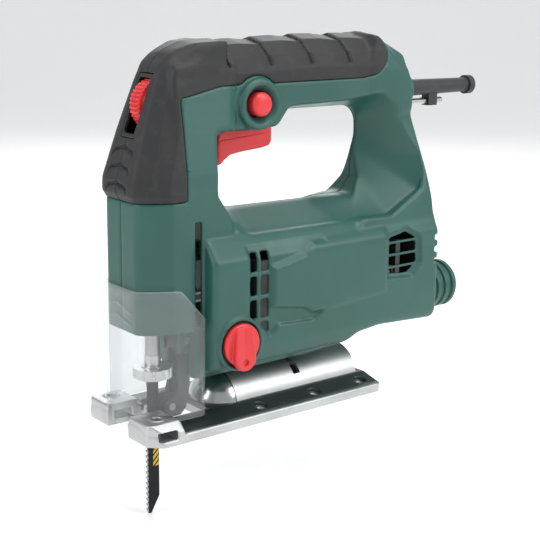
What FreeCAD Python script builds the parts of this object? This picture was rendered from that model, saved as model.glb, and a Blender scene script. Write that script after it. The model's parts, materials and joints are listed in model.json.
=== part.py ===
import FreeCAD, Part
import math
import os
import re
import Sketcher

# Jigsaw, in millimetres. +X is the cutting direction, +Y the tool's left side, +Z up.
# The origin is the centre of the sole's underside. Every driving size is a cell of the
# sheet "Sizes"; sub-parts are bound to those cells by expressions.

doc = FreeCAD.newDocument("Jigsaw")
sheet = doc.addObject("Spreadsheet::Sheet", "Sizes")

SIZES = [
    ("sole_length", 155, "footplate, along the cut"),
    ("sole_width", 68, "footplate, across the cut"),
    ("rim_height", 5, "footplate at its outer edge"),
    ("ridge_height", 8, "footplate at the saddle's foot"),
    ("ridge_half", 18, "half width of the raised middle"),
    ("underside_recess", 2, "depth of the relief under the footplate"),
    ("slot_half", 10, "half width of the slot that the blade runs in"),
    ("throat_half", 15.5, "half width of the opening round the roller"),
    ("throat_rear", 31, "rear end of the opening round the roller"),
    ("throat_front", 55, "front end of the opening round the roller"),
    ("block_height", 12, "top of the raised blocks on the two prongs"),
    ("block_length", 19, "raised blocks, along the cut"),
    ("fence_slot_height", 4.6, "rip fence slot, height"),
    ("fence_slot_width", 10.4, "rip fence slot, along the cut"),
    ("fence_slot_floor", 3.2, "rip fence slot, floor above the underside"),
    ("bevel_height", 5, "bevel axis above the underside"),
    ("saddle_radius", 17, "outer radius of the footplate's saddle"),
    ("saddle_wall", 2, "saddle sheet"),
    ("saddle_rear", -72, "rear end of the saddle"),
    ("saddle_front", 14, "front end of the saddle's straight part"),
    ("saddle_fit", 0.35, "gap between saddle and housing"),
    ("bevel_slot_half", 2.4, "half width of the saddle's bevel slot"),
    ("bevel_slot_x", -30, "place of the bevel slot"),
    ("bevel_angle", 45, "bevel travel, one way"),
    ("foot_sheet", 1.5, "feet of the saddle, riveted to the footplate"),
    ("rivet_radius", 2, "rivets that hold the saddle"),
    ("barrel_half", 33, "half width of the motor barrel"),
    ("barrel_top", 111, "top of the motor barrel under the hand"),
    ("barrel_rear", -120, "rear wall of the motor barrel"),
    ("barrel_front", 40, "front wall of the motor barrel"),
    ("wall", 2.5, "housing wall"),
    ("foot_half", 12, "half width of the housing's foot on the saddle"),
    ("foot_height", 23, "underside of the housing's foot"),
    ("nose_half", 24, "half width of the nose"),
    ("nose_front", 74, "front face of the nose"),
    ("nose_bottom", 54, "underside of the nose"),
    ("cap_bottom", 121, "lower edge of the soft nose cap"),
    ("cap_rear", 50, "rear edge of the soft nose cap"),
    ("handle_half", 17, "half width of the handle"),
    ("handle_top", 200, "top of the handle"),
    ("handle_bottom", 160, "underside of the handle"),
    ("grip_edge", 176, "lower edge of the soft grip on the handle"),
    ("grip_skin", 3, "thickness of the soft grip"),
    ("grip_rear", -86, "rear end of the soft grip"),
    ("window_front", 20, "front end of the hand opening"),
    ("window_rear", -82, "rear end of the hand opening"),
    ("motor_height", 66, "motor axis above the underside"),
    ("shaft_radius", 4, "armature shaft"),
    ("core_radius", 17.5, "armature core"),
    ("core_front", -22, "front end of the cores"),
    ("core_length", 40, "length of the cores"),
    ("air_gap", 0.6, "gap between armature and field"),
    ("field_radius", 27, "outer radius of the field core"),
    ("fan_radius", 25, "cooling fan"),
    ("commutator_radius", 11, "commutator"),
    ("bearing_radius", 9.5, "outer radius of the ball bearings"),
    ("bearing_width", 6, "width of the ball bearings"),
    ("running_gap", 0.05, "radial clearance of a running fit"),
    ("tooth_module", 1, "gear tooth module"),
    ("pinion_teeth", 8, "teeth of the pinion"),
    ("gear_teeth", 40, "teeth of the crank gear"),
    ("gear_rear", 24, "rear face of the crank gear"),
    ("gear_width", 7, "face width of the crank gear"),
    ("axle_radius", 4, "crank gear axle"),
    ("stroke", 18, "plunger stroke"),
    ("crank_pin_radius", 3, "crank pin"),
    ("yoke_gap", 0.4, "gap at the opened crank link"),
    ("plunger_x", 56, "plunger axis"),
    ("plunger_radius", 4, "plunger rod"),
    ("yoke_rear", 42, "rear face of the plunger's yoke"),
    ("guide_top", 132, "top of the swinging guide"),
    ("guide_bottom", 58, "underside of the swinging guide's lower bush block"),
    ("guide_pivot", 116, "pivot of the swinging guide"),
    ("collar_radius", 10.5, "quick clamp collar"),
    ("collar_bottom", 26.5, "underside of the quick clamp collar"),
    ("collar_height", 6.5, "height of the quick clamp collar"),
    ("holder_radius", 6, "blade holder inside the collar"),
    ("blade_width", 8, "blade, teeth to back"),
    ("blade_thick", 1.2, "blade thickness"),
    ("blade_tip", -50, "blade tip at rest"),
    ("tooth_pitch", 3, "blade tooth pitch"),
    ("tooth_depth", 1.5, "blade tooth depth"),
    ("roller_root", 5.2, "bottom radius of the roller's groove"),
    ("roller_rim", 6.6, "rim radius of the roller"),
    ("roller_height", 9, "roller axle above the underside"),
    ("roller_gap", 0.3, "gap between the roller and the blade's back"),
    ("roller_half", 3.2, "half width of the roller"),
    ("fork_plate", 2, "thickness of the fork's side plates"),
    ("fork_pivot_x", 40.5, "fork pivot"),
    ("fork_pivot_z", 45, "fork pivot"),
    ("pin_radius", 2, "pivot pins"),
    ("guard_wall", 2, "wall of the clear guard"),
    ("guard_gap", 0.6, "gap between guard and nose"),
    ("guard_top", 77, "upper edge of the clear guard"),
    ("guard_bottom", 9, "lower edge of the clear guard's sides"),
    ("guard_rear", 41.5, "rear edge of the clear guard's sides"),
    ("guard_tongue", 4, "lower edge of the guard between the prongs"),
    ("guard_travel", 34, "travel of the clear guard"),
    ("trigger_rear", -17, "rear end of the trigger"),
    ("trigger_front", 19, "front end of the trigger"),
    ("trigger_bottom", 142, "underside of the trigger's rear end"),
    ("trigger_half", 6, "half width of the trigger"),
    ("trigger_travel", 5, "trigger stroke"),
    ("move_gap", 0.4, "gap round the buttons and levers"),
    ("button_x", 2, "lock button axis"),
    ("button_z", 166, "lock button axis"),
    ("button_radius", 6.2, "lock button"),
    ("button_face", 23.5, "outer face of the lock button"),
    ("button_travel", 3, "lock button stroke"),
    ("boss_radius", 13, "boss round the lock button"),
    ("boss_face", 21, "outer face of the lock button's boss"),
    ("wheel_x", 53, "speed wheel axis"),
    ("wheel_z", 167, "speed wheel axis"),
    ("wheel_radius", 13, "speed wheel"),
    ("wheel_half", 4.5, "half width of the speed wheel"),
    ("lever_x", 24, "stroke action lever axis"),
    ("lever_z", 46, "stroke action lever axis"),
    ("lever_recess", 12, "radius of the lever's recess"),
    ("lever_stand", 6, "height of the lever's knob over the barrel"),
    ("port_z", 46, "axis of the dust port"),
    ("port_radius", 14.5, "outer radius of the dust port"),
    ("port_wall", 2, "wall of the dust port"),
    ("port_end", -158.5, "end of the dust port"),
    ("sleeve_radius", 5, "cord sleeve"),
    ("sleeve_length", 53, "cord sleeve outside the collar"),
    ("cord_radius", 3.5, "bore of the cord sleeve"),
    ("gland_x", -104, "gland at the handle's rear"),
    ("gland_z", 167.5, "gland height"),
    ("key_across", 3, "hex key, across flats"),
    ("screw_radius", 2, "housing screws"),
    ("screw_head", 3.6, "heads of the housing screws"),
]
for row, (alias, value, note) in enumerate(SIZES, start=1):
    sheet.set("A%d" % row, alias.replace("_", " "))
    sheet.set("B%d" % row, str(value))
    sheet.setAlias("B%d" % row, alias)
    sheet.set("C%d" % row, note)
doc.recompute()

ALIASES = {alias for alias, _, _ in SIZES}
NODES = {}
TURNS = {
    "X": FreeCAD.Rotation(FreeCAD.Vector(0, 1, 0), 90),
    "Y": FreeCAD.Rotation(FreeCAD.Vector(1, 0, 0), -90),
    "Z": FreeCAD.Rotation(),
}


def bound(text):
    """Turn names of sizes in an expression into references to the sheet's cells."""
    return re.sub(r"[a-z_]+", lambda m: "Sizes." + m.group(0) if m.group(0) in ALIASES else m.group(0),
                  str(text))


def size(text):
    """The present value of an expression on the sheet's sizes."""
    return float(sheet.evalExpression(bound(text)))


def bind(item, **properties):
    """Bind each property to an expression; a double underscore stands for a dot."""
    for name, text in properties.items():
        item.setExpression(name.replace("__", "."), bound(text))


def place(item, x="0", y="0", z="0"):
    bind(item, Placement__Base__x=x, Placement__Base__y=y, Placement__Base__z=z)
    return item


def node(label, item):
    """Name a finished sub-part; its file has the same name."""
    item.Label = label
    NODES[label] = item
    return item


def block(x, y, z):
    """A box between (low, high) expressions on each axis."""
    item = doc.addObject("Part::Box", "block")
    bind(item, Length="(%s) - (%s)" % (x[1], x[0]), Width="(%s) - (%s)" % (y[1], y[0]),
         Height="(%s) - (%s)" % (z[1], z[0]))
    return place(item, x[0], y[0], z[0])


def rod(axis, centre, span, radius):
    """A cylinder along an axis; centre holds its two other coordinates, in X, Y, Z order."""
    item = doc.addObject("Part::Cylinder", "rod")
    item.Placement = FreeCAD.Placement(FreeCAD.Vector(), TURNS[axis])
    bind(item, Radius=radius, Height="(%s) - (%s)" % (span[1], span[0]))
    where = list(centre)
    where.insert("XYZ".index(axis), span[0])
    return place(item, *where)


def cone(axis, centre, span, radii):
    """A cone along an axis, with a radius at each end."""
    item = doc.addObject("Part::Cone", "cone")
    item.Placement = FreeCAD.Placement(FreeCAD.Vector(), TURNS[axis])
    bind(item, Radius1=radii[0], Radius2=radii[1], Height="(%s) - (%s)" % (span[1], span[0]))
    where = list(centre)
    where.insert("XYZ".index(axis), span[0])
    return place(item, *where)


def fuse(*items):
    if len(items) == 1:
        return items[0]
    item = doc.addObject("Part::MultiFuse", "fuse")
    item.Shapes = list(items)
    return item


def cut(base, *tools):
    item = doc.addObject("Part::Cut", "cut")
    item.Base = base
    item.Tool = fuse(*tools)
    return item


def common(*items):
    item = doc.addObject("Part::MultiCommon", "common")
    item.Shapes = list(items)
    return item


def ring(axis, centre, span, outer, inner):
    """A tube between two radii."""
    return cut(rod(axis, centre, span, outer), rod(axis, centre,
                                                   ("(%s) - 1" % span[0], "(%s) + 1" % span[1]), inner))


def mirrored(source):
    """The same shape on the tool's other side."""
    item = doc.addObject("Part::Mirroring", "mirrored")
    item.Source = source
    item.Normal = FreeCAD.Vector(0, 1, 0)
    return item


def sketch(body, plane, outlines, offset):
    """A sketch whose points are pairs of expressions, each bound by two distances."""
    item = body.newObject("Sketcher::SketchObject", "sketch")
    support = [f for f in body.Origin.OriginFeatures if f.Role == plane + "_Plane"][0]
    item.AttachmentSupport = [(support, "")]
    item.MapMode = "FlatFace"
    sign = "-" if plane == "XZ" else ""
    item.setExpression("AttachmentOffset.Base.z", bound("%s(%s)" % (sign, offset)))
    for points in outlines:
        first = item.GeometryCount
        places = [FreeCAD.Vector(size(a), size(b), 0) for a, b in points]
        count = len(places)
        for i in range(count):
            item.addGeometry(Part.LineSegment(places[i], places[(i + 1) % count]))
        for i in range(count):
            item.addConstraint(Sketcher.Constraint("Coincident", first + i, 2, first + (i + 1) % count, 1))
        for i, (a, b) in enumerate(points):
            for kind, text, value in (("DistanceX", a, places[i].x), ("DistanceY", b, places[i].y)):
                index = item.addConstraint(Sketcher.Constraint(kind, -1, 1, first + i, 1, value))
                item.setExpression("Constraints[%d]" % index, bound(text))
    return item


def pad(body, plane, points, span):
    """Add an outline in a plane, carried from span's low to its high coordinate."""
    start = span[1] if plane == "XZ" else span[0]
    feature = body.newObject("PartDesign::Pad", "pad")
    feature.Profile = sketch(body, plane, [points], start)
    bind(feature, Length="(%s) - (%s)" % (span[1], span[0]))
    body.Tip = feature
    return body


def pocket(body, plane, points, span):
    """Cut an outline in a plane, from span's low to its high coordinate."""
    start = span[0] if plane == "XZ" else span[1]
    feature = body.newObject("PartDesign::Pocket", "pocket")
    feature.Profile = sketch(body, plane, [points], start)
    bind(feature, Length="(%s) - (%s)" % (span[1], span[0]))
    body.Tip = feature
    return body


def prism(plane, points, span):
    """A body of one padded outline."""
    return pad(doc.addObject("PartDesign::Body", "prism"), plane, points, span)


def moved_in(points, inset):
    """Outlines given with a wall term take it from here: @ stands for the inset."""
    return [(a.replace("@", inset), b.replace("@", inset)) for a, b in points]


def hexagon(across):
    """The six corners of a hexagon about the origin, from its width across the flats."""
    return [(across + " * %.6f" % (math.cos(math.radians(60 * i + 30)) / math.sqrt(3)),
             across + " * %.6f" % (math.sin(math.radians(60 * i + 30)) / math.sqrt(3))) for i in range(6)]


# Footplate: a cast plate whose top slopes up to the saddle, open at the front for the blade.
sole = prism("YZ", [
    ("-sole_width / 2", "0"), ("sole_width / 2", "0"), ("sole_width / 2", "rim_height"),
    ("ridge_half", "ridge_height"), ("-ridge_half", "ridge_height"), ("-sole_width / 2", "rim_height"),
], ("-sole_length / 2", "sole_length / 2"))
for side in ("", "-"):
    low, high = ("slot_half", "sole_width / 2") if side == "" else ("-sole_width / 2", "-slot_half")
    pad(sole, "XY", [
        ("sole_length / 2 - block_length", low), ("sole_length / 2", low),
        ("sole_length / 2", high), ("sole_length / 2 - block_length", high),
    ], ("rim_height / 2", "block_height"))
pocket(sole, "XY", [
    ("throat_front", "-slot_half"), ("sole_length / 2 + 1", "-slot_half"),
    ("sole_length / 2 + 1", "slot_half"), ("throat_front", "slot_half"),
], ("-1", "block_height + 1"))
pocket(sole, "XY", [
    ("throat_rear", "-throat_half"), ("throat_front + 0.01", "-throat_half"),
    ("throat_front + 0.01", "throat_half"), ("throat_rear", "throat_half"),
], ("-1", "block_height + 1"))
for side in ("", "-"):
    # The front corners of the two prongs are cut back, and each block's outer top edge slopes.
    pocket(sole, "XY", [
        ("sole_length / 2 - 6", side + "(sole_width / 2 + 1)"),
        ("sole_length / 2 + 1", side + "(sole_width / 2 + 1)"),
        ("sole_length / 2 + 1", side + "(sole_width / 2 - 7)"),
    ], ("-1", "block_height + 1"))
    pocket(sole, "YZ", [
        (side + "(sole_width / 2 - 5)", "block_height + 0.01"),
        (side + "(sole_width / 2 + 1)", "block_height + 0.01"),
        (side + "(sole_width / 2 + 1)", "rim_height + 2"),
    ], ("sole_length / 2 - block_length - 1", "sole_length / 2 + 1"))
rib_half = "(saddle_radius - saddle_wall - 9)"
for side in ("", "-"):
    # Relief under each half, with a rib left along the middle between the rivets.
    pocket(sole, "XY", [
        ("-sole_length / 2 + 8", side + rib_half), ("throat_rear - 5", side + rib_half),
        ("throat_rear - 5", side + "ridge_half"), ("-sole_length / 2 + 8", side + "ridge_half"),
    ], ("-1", "underside_recess"))
fence_x = "sole_length / 2 - block_length / 2"
fence_screw_span = ("fence_slot_floor + fence_slot_height - 0.5", "block_height + 1")
sole_holes = [
    block((fence_x + " - fence_slot_width / 2", fence_x + " + fence_slot_width / 2"),
          ("-sole_width / 2 - 1", "sole_width / 2 + 1"),
          ("fence_slot_floor", "fence_slot_floor + fence_slot_height")),
]
for side in ("", "-"):
    sole_holes.append(rod("Z", (fence_x, side + "(sole_width / 2 - 12)"), fence_screw_span,
                          "screw_radius + 0.5"))
sole_holes.append(rod("Z", ("bevel_slot_x", "0"), ("-1", "block_height"), "screw_head + 2"))
for x in ("-sole_length / 2 + 10", "-sole_length / 2 + 44", "4"):
    for side in ("", "-"):
        sole_holes.append(rod("Z", (x, side + "(sole_width / 2 - 9)"), ("-1", "block_height"),
                              "screw_radius"))
rivet_y = "(saddle_radius - saddle_wall - 4.6)"
rivet_xs = ("(saddle_rear + 8)", "(saddle_front - 12)")
rivet_holes = [rod("Z", (x, side + rivet_y), ("-1", "block_height"), "rivet_radius")
               for x in rivet_xs for side in ("", "-")]
node("sole_plate", cut(sole, *sole_holes, *rivet_holes))

# Saddle: a half tube with a domed front end, fixed on the footplate and round the bevel axis.
axis_yz = ("0", "bevel_height")


def saddle_form(grow):
    """The saddle's outer form, enlarged all round by an expression."""
    ball = doc.addObject("Part::Sphere", "dome")
    bind(ball, Radius="saddle_radius + (%s)" % grow)
    place(ball, "saddle_front", *axis_yz)
    return fuse(rod("X", axis_yz, ("saddle_rear", "saddle_front"), "saddle_radius + (%s)" % grow), ball)


saddle_room = block(("saddle_rear - 50", "saddle_front + 60"), ("-60", "60"), ("ridge_height", "90"))
saddle_slot = common(
    ring("X", axis_yz, ("bevel_slot_x - bevel_slot_half", "bevel_slot_x + bevel_slot_half"),
         "saddle_radius + 5", "saddle_radius - saddle_wall - 5"),
    block(("bevel_slot_x - 5", "bevel_slot_x + 5"),
          ("-saddle_radius * sin(bevel_angle + 11)", "saddle_radius * sin(bevel_angle + 11)"),
          ("bevel_height + 2", "bevel_height + 30")),
)
throat_room = block(("throat_rear - 0.6", "throat_rear + 30"), ("-throat_half", "throat_half"), ("0", "40"))
saddle_feet = []
for x in rivet_xs:
    for span in ((rivet_y + " - 3.5", rivet_y + " + 4.6"), ("-%s - 4.6" % rivet_y, "-%s + 3.5" % rivet_y)):
        saddle_feet.append(block((x + " - 6", x + " + 6"), span,
                                 ("ridge_height", "ridge_height + foot_sheet")))
saddle_sheet = cut(common(saddle_form("0"), saddle_room), saddle_form("-saddle_wall"))
node("base_saddle", cut(fuse(saddle_sheet, *saddle_feet), saddle_slot, throat_room, *rivet_holes))
screw_x = "bevel_slot_x"
clamp_sector = block(("bevel_slot_x - 7", "bevel_slot_x + 7"), ("-5.5", "5.5"),
                     ("bevel_height + 8", "bevel_height + 30"))
clamp_ring = ring("X", axis_yz, ("bevel_slot_x - 7", "bevel_slot_x + 7"),
                  "saddle_radius - saddle_wall - saddle_fit",
                  "saddle_radius - saddle_wall - saddle_fit - 2")
node("clamp_plate", cut(common(clamp_sector, clamp_ring),
                        rod("Z", (screw_x, "0"), ("0", "60"), "screw_radius + 0.1")))
screw_seat = "(bevel_height + saddle_radius - saddle_wall - saddle_fit - 4)"
node("bevel_screw", cut(
    fuse(rod("Z", (screw_x, "0"), (screw_seat + " - 2.2", screw_seat), "screw_head"),
         rod("Z", (screw_x, "0"), (screw_seat, "foot_height + 4"), "screw_radius")),
    prism("XY", [(screw_x + " + " + a, b) for a, b in hexagon("key_across")],
          (screw_seat + " - 4", screw_seat + " - 1.2"))))
rivets = []
for x in rivet_xs:
    for side in ("", "-"):
        rivets.append(fuse(
            rod("Z", (x, side + rivet_y), ("underside_recess - 1", "underside_recess"),
                "rivet_radius + 1.4"),
            rod("Z", (x, side + rivet_y), ("underside_recess", "ridge_height + foot_sheet"),
                "rivet_radius"),
            rod("Z", (x, side + rivet_y), ("ridge_height + foot_sheet", "ridge_height + foot_sheet + 1.2"),
                "rivet_radius + 0.8")))
node("saddle_rivets", fuse(*rivets))

# Housing: two moulded halves. The barrel is an outline across the tool, the nose one seen from
# above, and the handle and rear post are seen from the side.
BARREL = [
    ("0", "foot_height + @"), ("foot_half", "foot_height + @"), ("foot_half + 11", "foot_height + 8 + @"),
    ("barrel_half - 3 - @ / 2", "foot_height + 10 + @"), ("barrel_half - @", "foot_height + 19 + @ / 2"),
    ("barrel_half - @", "barrel_top - 21 - @ / 2"), ("barrel_half - 7 - @ / 2", "barrel_top - 12 - @ / 2"),
    ("barrel_half - 18 - @ / 2", "barrel_top - 3 - @"), ("0", "barrel_top - @"),
]
COLUMN = [
    ("window_front + @", "0"), ("nose_front - @", "0"), ("nose_front - @", "nose_half - 11"),
    ("nose_front - 2 - @", "nose_half - 8"), ("nose_front - 16 - @ / 2", "nose_half - @"),
    ("window_front + @", "nose_half - @"),
]
POST = [
    ("window_rear - @", "barrel_top - 9"), ("window_rear - @", "handle_bottom + @"),
    ("grip_rear", "grip_edge"), ("grip_rear", "handle_top - 2 - @"),
    ("grip_rear - 10 + @ / 2", "handle_top - 8 - @"),
    ("gland_x + 4 + @", "gland_z + 13 - @ / 2"), ("gland_x - 5 + @", "gland_z + 7 - @"),
    ("gland_x - 6 + @", "gland_z - 6"), ("gland_x - 9 + @", "gland_z - 20"),
    ("barrel_rear + 2 + @", "barrel_top - 5"), ("barrel_rear + 0.5 + @", "barrel_top - 20"),
    ("window_rear - @", "barrel_top - 20"),
]
HANDLE = [
    ("grip_rear", "handle_bottom + @"), ("trigger_rear - 15", "handle_bottom + @"),
    ("trigger_rear - 7 + @", "handle_bottom - 10 + @"), ("cap_rear - @", "handle_bottom - 10 + @"),
    ("cap_rear - @", "grip_edge - 5"), ("window_front + 4", "grip_edge - @ / 4"),
    ("grip_rear", "grip_edge - @ / 4"),
]
NECK = [
    ("window_front + @", "barrel_top - 12"), ("cap_rear", "barrel_top - 12"), ("cap_rear", "grip_edge - 5"),
    ("window_front + @", "grip_edge - 5"),
]
shell = prism("YZ", moved_in(BARREL, "0"), ("barrel_rear", "barrel_front"))
pad(shell, "XY", moved_in(COLUMN, "0"), ("nose_bottom", "cap_bottom"))
pad(shell, "XZ", moved_in(NECK, "0"), ("0", "nose_half - 2"))
pad(shell, "XZ", moved_in(POST, "0"), ("0", "handle_half"))
pad(shell, "XZ", moved_in(HANDLE, "0"), ("0", "handle_half"))
pad(shell, "XZ", [
    ("grip_rear", "grip_edge - 1"), ("window_front + 4", "grip_edge - 1"),
    ("window_front + 4", "handle_top - grip_skin"), ("grip_rear", "handle_top - grip_skin"),
], ("0", "handle_half - grip_skin"))
pad(shell, "XZ", [
    ("window_rear - 1", "barrel_top - 22"), ("window_rear + 24", "barrel_top - 6"),
    ("window_rear", "barrel_top + 18"),
], ("0", "handle_half - 1"))
# The rear end's underside rises towards the dust port.
pocket(shell, "XZ", [
    ("barrel_rear - 1", "0"), ("saddle_rear + 22", "0"), ("saddle_rear + 20", "foot_height + 1"),
    ("saddle_rear", "foot_height + 10"), ("barrel_rear - 1", "foot_height + 12"),
], ("-1", "barrel_half + 1"))
pocket(shell, "YZ", moved_in(BARREL, "wall"), ("saddle_rear + 22", "barrel_front - wall"))
REAR_ROOM = [("0", "foot_height + 12 + @"), ("barrel_half - 3 - @", "foot_height + 12 + @")] + BARREL[4:]
pocket(shell, "YZ", moved_in(REAR_ROOM, "wall"), ("barrel_rear + wall", "saddle_rear + 22.01"))
pocket(shell, "XY", moved_in(COLUMN, "wall"), ("nose_bottom + wall", "cap_bottom + 1"))
pocket(shell, "XZ", moved_in(NECK, "wall"), ("-1", "nose_half - 2 - wall"))
pocket(shell, "XZ", moved_in(POST, "wall"), ("-1", "handle_half - wall"))
pocket(shell, "XZ", moved_in(HANDLE, "wall"), ("-1", "handle_half - wall"))
pocket(shell, "XZ", [
    ("window_front + wall", "grip_edge - 9"), ("cap_rear + 1", "grip_edge - 9"),
    ("cap_rear + 1", "grip_edge + 5"), ("window_front + wall", "grip_edge + 5"),
], ("-1", "handle_half - grip_skin - wall"))
pocket(shell, "XZ", [
    ("grip_rear + wall", "grip_edge - 2"), ("cap_rear", "grip_edge - 2"),
    ("cap_rear", "handle_top - grip_skin - wall"), ("grip_rear + wall", "handle_top - grip_skin - wall"),
], ("-1", "handle_half - grip_skin - wall"))

# Each screw: its place seen from the side, and how far its boss reaches from the middle.
SCREWS = [
    ("barrel_rear + 9", "motor_height + 22", "barrel_half - wall - 3"),
    ("gland_x - 2", "gland_z - 24", "handle_half - wall"),
    ("grip_rear - 2", "handle_bottom + 11", "handle_half - wall"),
    ("nose_front - 5", "nose_bottom + 8", "nose_half - 12"),
    ("nose_front - 5", "cap_bottom - 8", "nose_half - 12"),
]
bosses = [rod("Y", (x, z), ("0", depth), "screw_radius + 2") for x, z, depth in SCREWS]
screw_holes = [rod("Y", (x, z), ("-1", depth + " - 2"), "screw_radius") for x, z, depth in SCREWS]
head_rooms = [rod("Y", (x, z), ("-barrel_half - 5", "-(%s) + 3" % depth), "screw_head + 0.3") for x, z,
              depth in SCREWS]
key_z = "(gland_z - sleeve_radius - 3.2)"
fork_half = "(roller_half + 0.4 + fork_plate)"
bracket_y = "(%s + 4)" % fork_half
gland = common(rod("X", ("0", "gland_z"), ("gland_x - 15", "gland_x - 4"), "sleeve_radius + 4.5"),
               block(("-200", "0"), ("0", "60"), ("0", "300")))
port_root = "(barrel_rear - 12)"
pipe = common(rod("X", ("0", "port_z"), (port_root, "barrel_rear + 1"), "port_radius + 0.7"),
              block(("-200", "0"), ("0", "60"), ("0", "300")))
guide_pin_end = "(nose_half - wall + 1.5)"
shell_holes = [
    rod("Z", ("bevel_slot_x", "0"), ("foot_height - 3", "foot_height + 8"), "screw_radius"),
    saddle_form("saddle_fit"),
    rod("Y", ("plunger_x", "guide_pivot"), ("nose_half - wall - 1", guide_pin_end), "pin_radius"),
    rod("Z", ("plunger_x", "0"), ("nose_bottom - 1", "nose_bottom + wall + 1"), "plunger_radius + 5"),
    block(("trigger_rear - move_gap", "trigger_front + move_gap"),
          ("-trigger_half - move_gap", "trigger_half + move_gap"),
          ("handle_bottom - 12", "handle_bottom - 5")),
    rod("X", ("0", "port_z"), (port_root + " - 1", "barrel_rear + wall + 5"), "port_radius - port_wall"),
    rod("X", ("0", "gland_z"), ("gland_x - 20", "gland_x - 2"), "sleeve_radius + 0.1"),
    rod("X", ("0", "gland_z"), ("gland_x - 2", "gland_x + 1.1"), "sleeve_radius + 2.1"),
    rod("X", ("0", key_z), ("gland_x - 20", "gland_x - 3"), "key_across * 0.58 + 0.2"),
    block(("barrel_front - 6", "barrel_front + 1"), ("-%s - 0.5" % fork_half, fork_half + " + 0.5"),
          ("foot_height - 1", "fork_pivot_z - 7")),
    block(("fork_pivot_x - 6.4", "barrel_front + 1"), ("-" + bracket_y, bracket_y),
          ("fork_pivot_z - 7", "nose_bottom")),
]
for i in range(4):
    # Rear side vents.
    low = "barrel_top - 24 - %d * 9" % i
    shell_holes.append(block(("-103", "-81"), ("barrel_half - wall - 2", "barrel_half + 1"),
                             (low, low + " + 4")))
for column in range(2):
    for i in range(3):
        # Front side vents, in front of the fan.
        x = "%d" % (5 + 7 * column)
        low = "motor_height - 9 + %d * 12.5" % i
        shell_holes.append(block((x, x + " + 4.5"), ("barrel_half - wall - 2", "barrel_half + 1"),
                                 (low, low + " + 10")))
half_shell = cut(fuse(shell, gland, pipe, *bosses), *screw_holes, *shell_holes)
button_boss = cut(rod("Y", ("button_x", "button_z"), ("handle_half - wall", "boss_face"), "boss_radius"),
                  rod("Y", ("button_x", "button_z"), ("-1", "boss_face + 1"), "button_radius + move_gap"))
lever_boss = rod("Y", ("lever_x", "lever_z"), ("barrel_half - wall", "barrel_half + 1.5"),
                 "lever_recess + 2.5")
lever_room = rod("Y", ("lever_x", "lever_z"), ("barrel_half - 1", "barrel_half + 5"), "lever_recess")
lever_hole = rod("Y", ("lever_x", "lever_z"), ("barrel_half - 12", "barrel_half + 5"),
                 "axle_radius + running_gap")
button_hole = rod("Y", ("button_x", "button_z"), ("handle_half - wall - 3", "boss_face + 1"),
                  "button_radius + move_gap")
node("housing_left", cut(fuse(half_shell, button_boss, lever_boss), lever_room, lever_hole, button_hole))
node("housing_right", cut(mirrored(half_shell), *head_rooms))

# Soft grip: a skin over the handle's top, and the cap of the nose, in two halves.
CAP = [
    ("cap_rear", "cap_bottom"), ("nose_front - 1", "cap_bottom"), ("nose_front + 2.5", "cap_bottom + 5"),
    ("nose_front + 2.5", "cap_bottom + 13"), ("plunger_x + 1", "handle_top - 14"),
    ("plunger_x - 19", "handle_top - 3"),
    ("window_front - 4", "handle_top - 0.5"), ("window_front - 4", "grip_edge"),
    ("window_front + 4", "grip_edge"),
    ("cap_rear", "grip_edge - 5"),
]
CAP_INNER = [
    ("cap_rear - 1", "cap_bottom - 1"), ("nose_front - 1 - @", "cap_bottom - 1"),
    ("nose_front + 2 - @", "cap_bottom + 6"),
    ("nose_front + 2 - @", "cap_bottom + 12"), ("plunger_x - @", "handle_top - 15"),
    ("plunger_x - 20", "handle_top - 3 - @"),
    ("window_front - 5", "handle_top - @"), ("window_front - 5", "grip_edge - 1"),
    ("window_front + 4", "grip_edge - 1"), ("cap_rear - 1", "grip_edge - 6"),
]
TAPER = [
    ("0", "cap_bottom - 5"), ("nose_half", "cap_bottom - 5"), ("nose_half", "cap_bottom + 12"),
    ("handle_half", "grip_edge + 4"), ("handle_half - 3", "handle_top - 4"),
    ("handle_half - 7", "handle_top"),
    ("0", "handle_top"),
]
TAPER_INNER = [
    ("-1", "cap_bottom - 6"), ("nose_half - @", "cap_bottom - 6"), ("nose_half - @", "cap_bottom + 12"),
    ("handle_half - @", "grip_edge + 4"), ("handle_half - 3 - @", "handle_top - 4 - @ / 2"),
    ("-1", "handle_top - @"),
]
cap_outer = common(prism("XZ", CAP, ("0", "nose_half")),
                   prism("YZ", TAPER, ("grip_rear - 20", "nose_front + 10")))
cap_inner = common(prism("XZ", moved_in(CAP_INNER, "grip_skin"), ("-1", "nose_half")),
                   prism("YZ", moved_in(TAPER_INNER, "grip_skin"), ("grip_rear - 20", "nose_front + 10")))
grip_outer = common(
    prism("XZ", [
        ("grip_rear", "grip_edge"), ("window_front - 4", "grip_edge"), ("window_front - 4", "handle_top"),
        ("grip_rear + 10", "handle_top"), ("grip_rear", "handle_top - 2"),
    ], ("0", "handle_half")),
    prism("YZ", TAPER, ("grip_rear - 20", "nose_front + 10")))
grip_core = block(("grip_rear - 1", "window_front + 4"), ("-1", "handle_half - grip_skin"),
                  ("grip_edge - 2", "handle_top - grip_skin"))
wheel_window = block(("wheel_x - wheel_radius - 1", "wheel_x + 40"), ("-1", "wheel_half + move_gap"),
                     ("wheel_z - wheel_radius - 1", "wheel_z + wheel_radius + 1"))
boss_room = rod("Y", ("button_x", "button_z"), ("-1", "handle_half + 5"), "boss_radius + 0.02")
half_grip = cut(fuse(cap_outer, grip_outer), cap_inner, grip_core, wheel_window)
node("soft_grip_left", cut(half_grip, boss_room))
node("soft_grip_right", mirrored(half_grip))
screws = []
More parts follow.
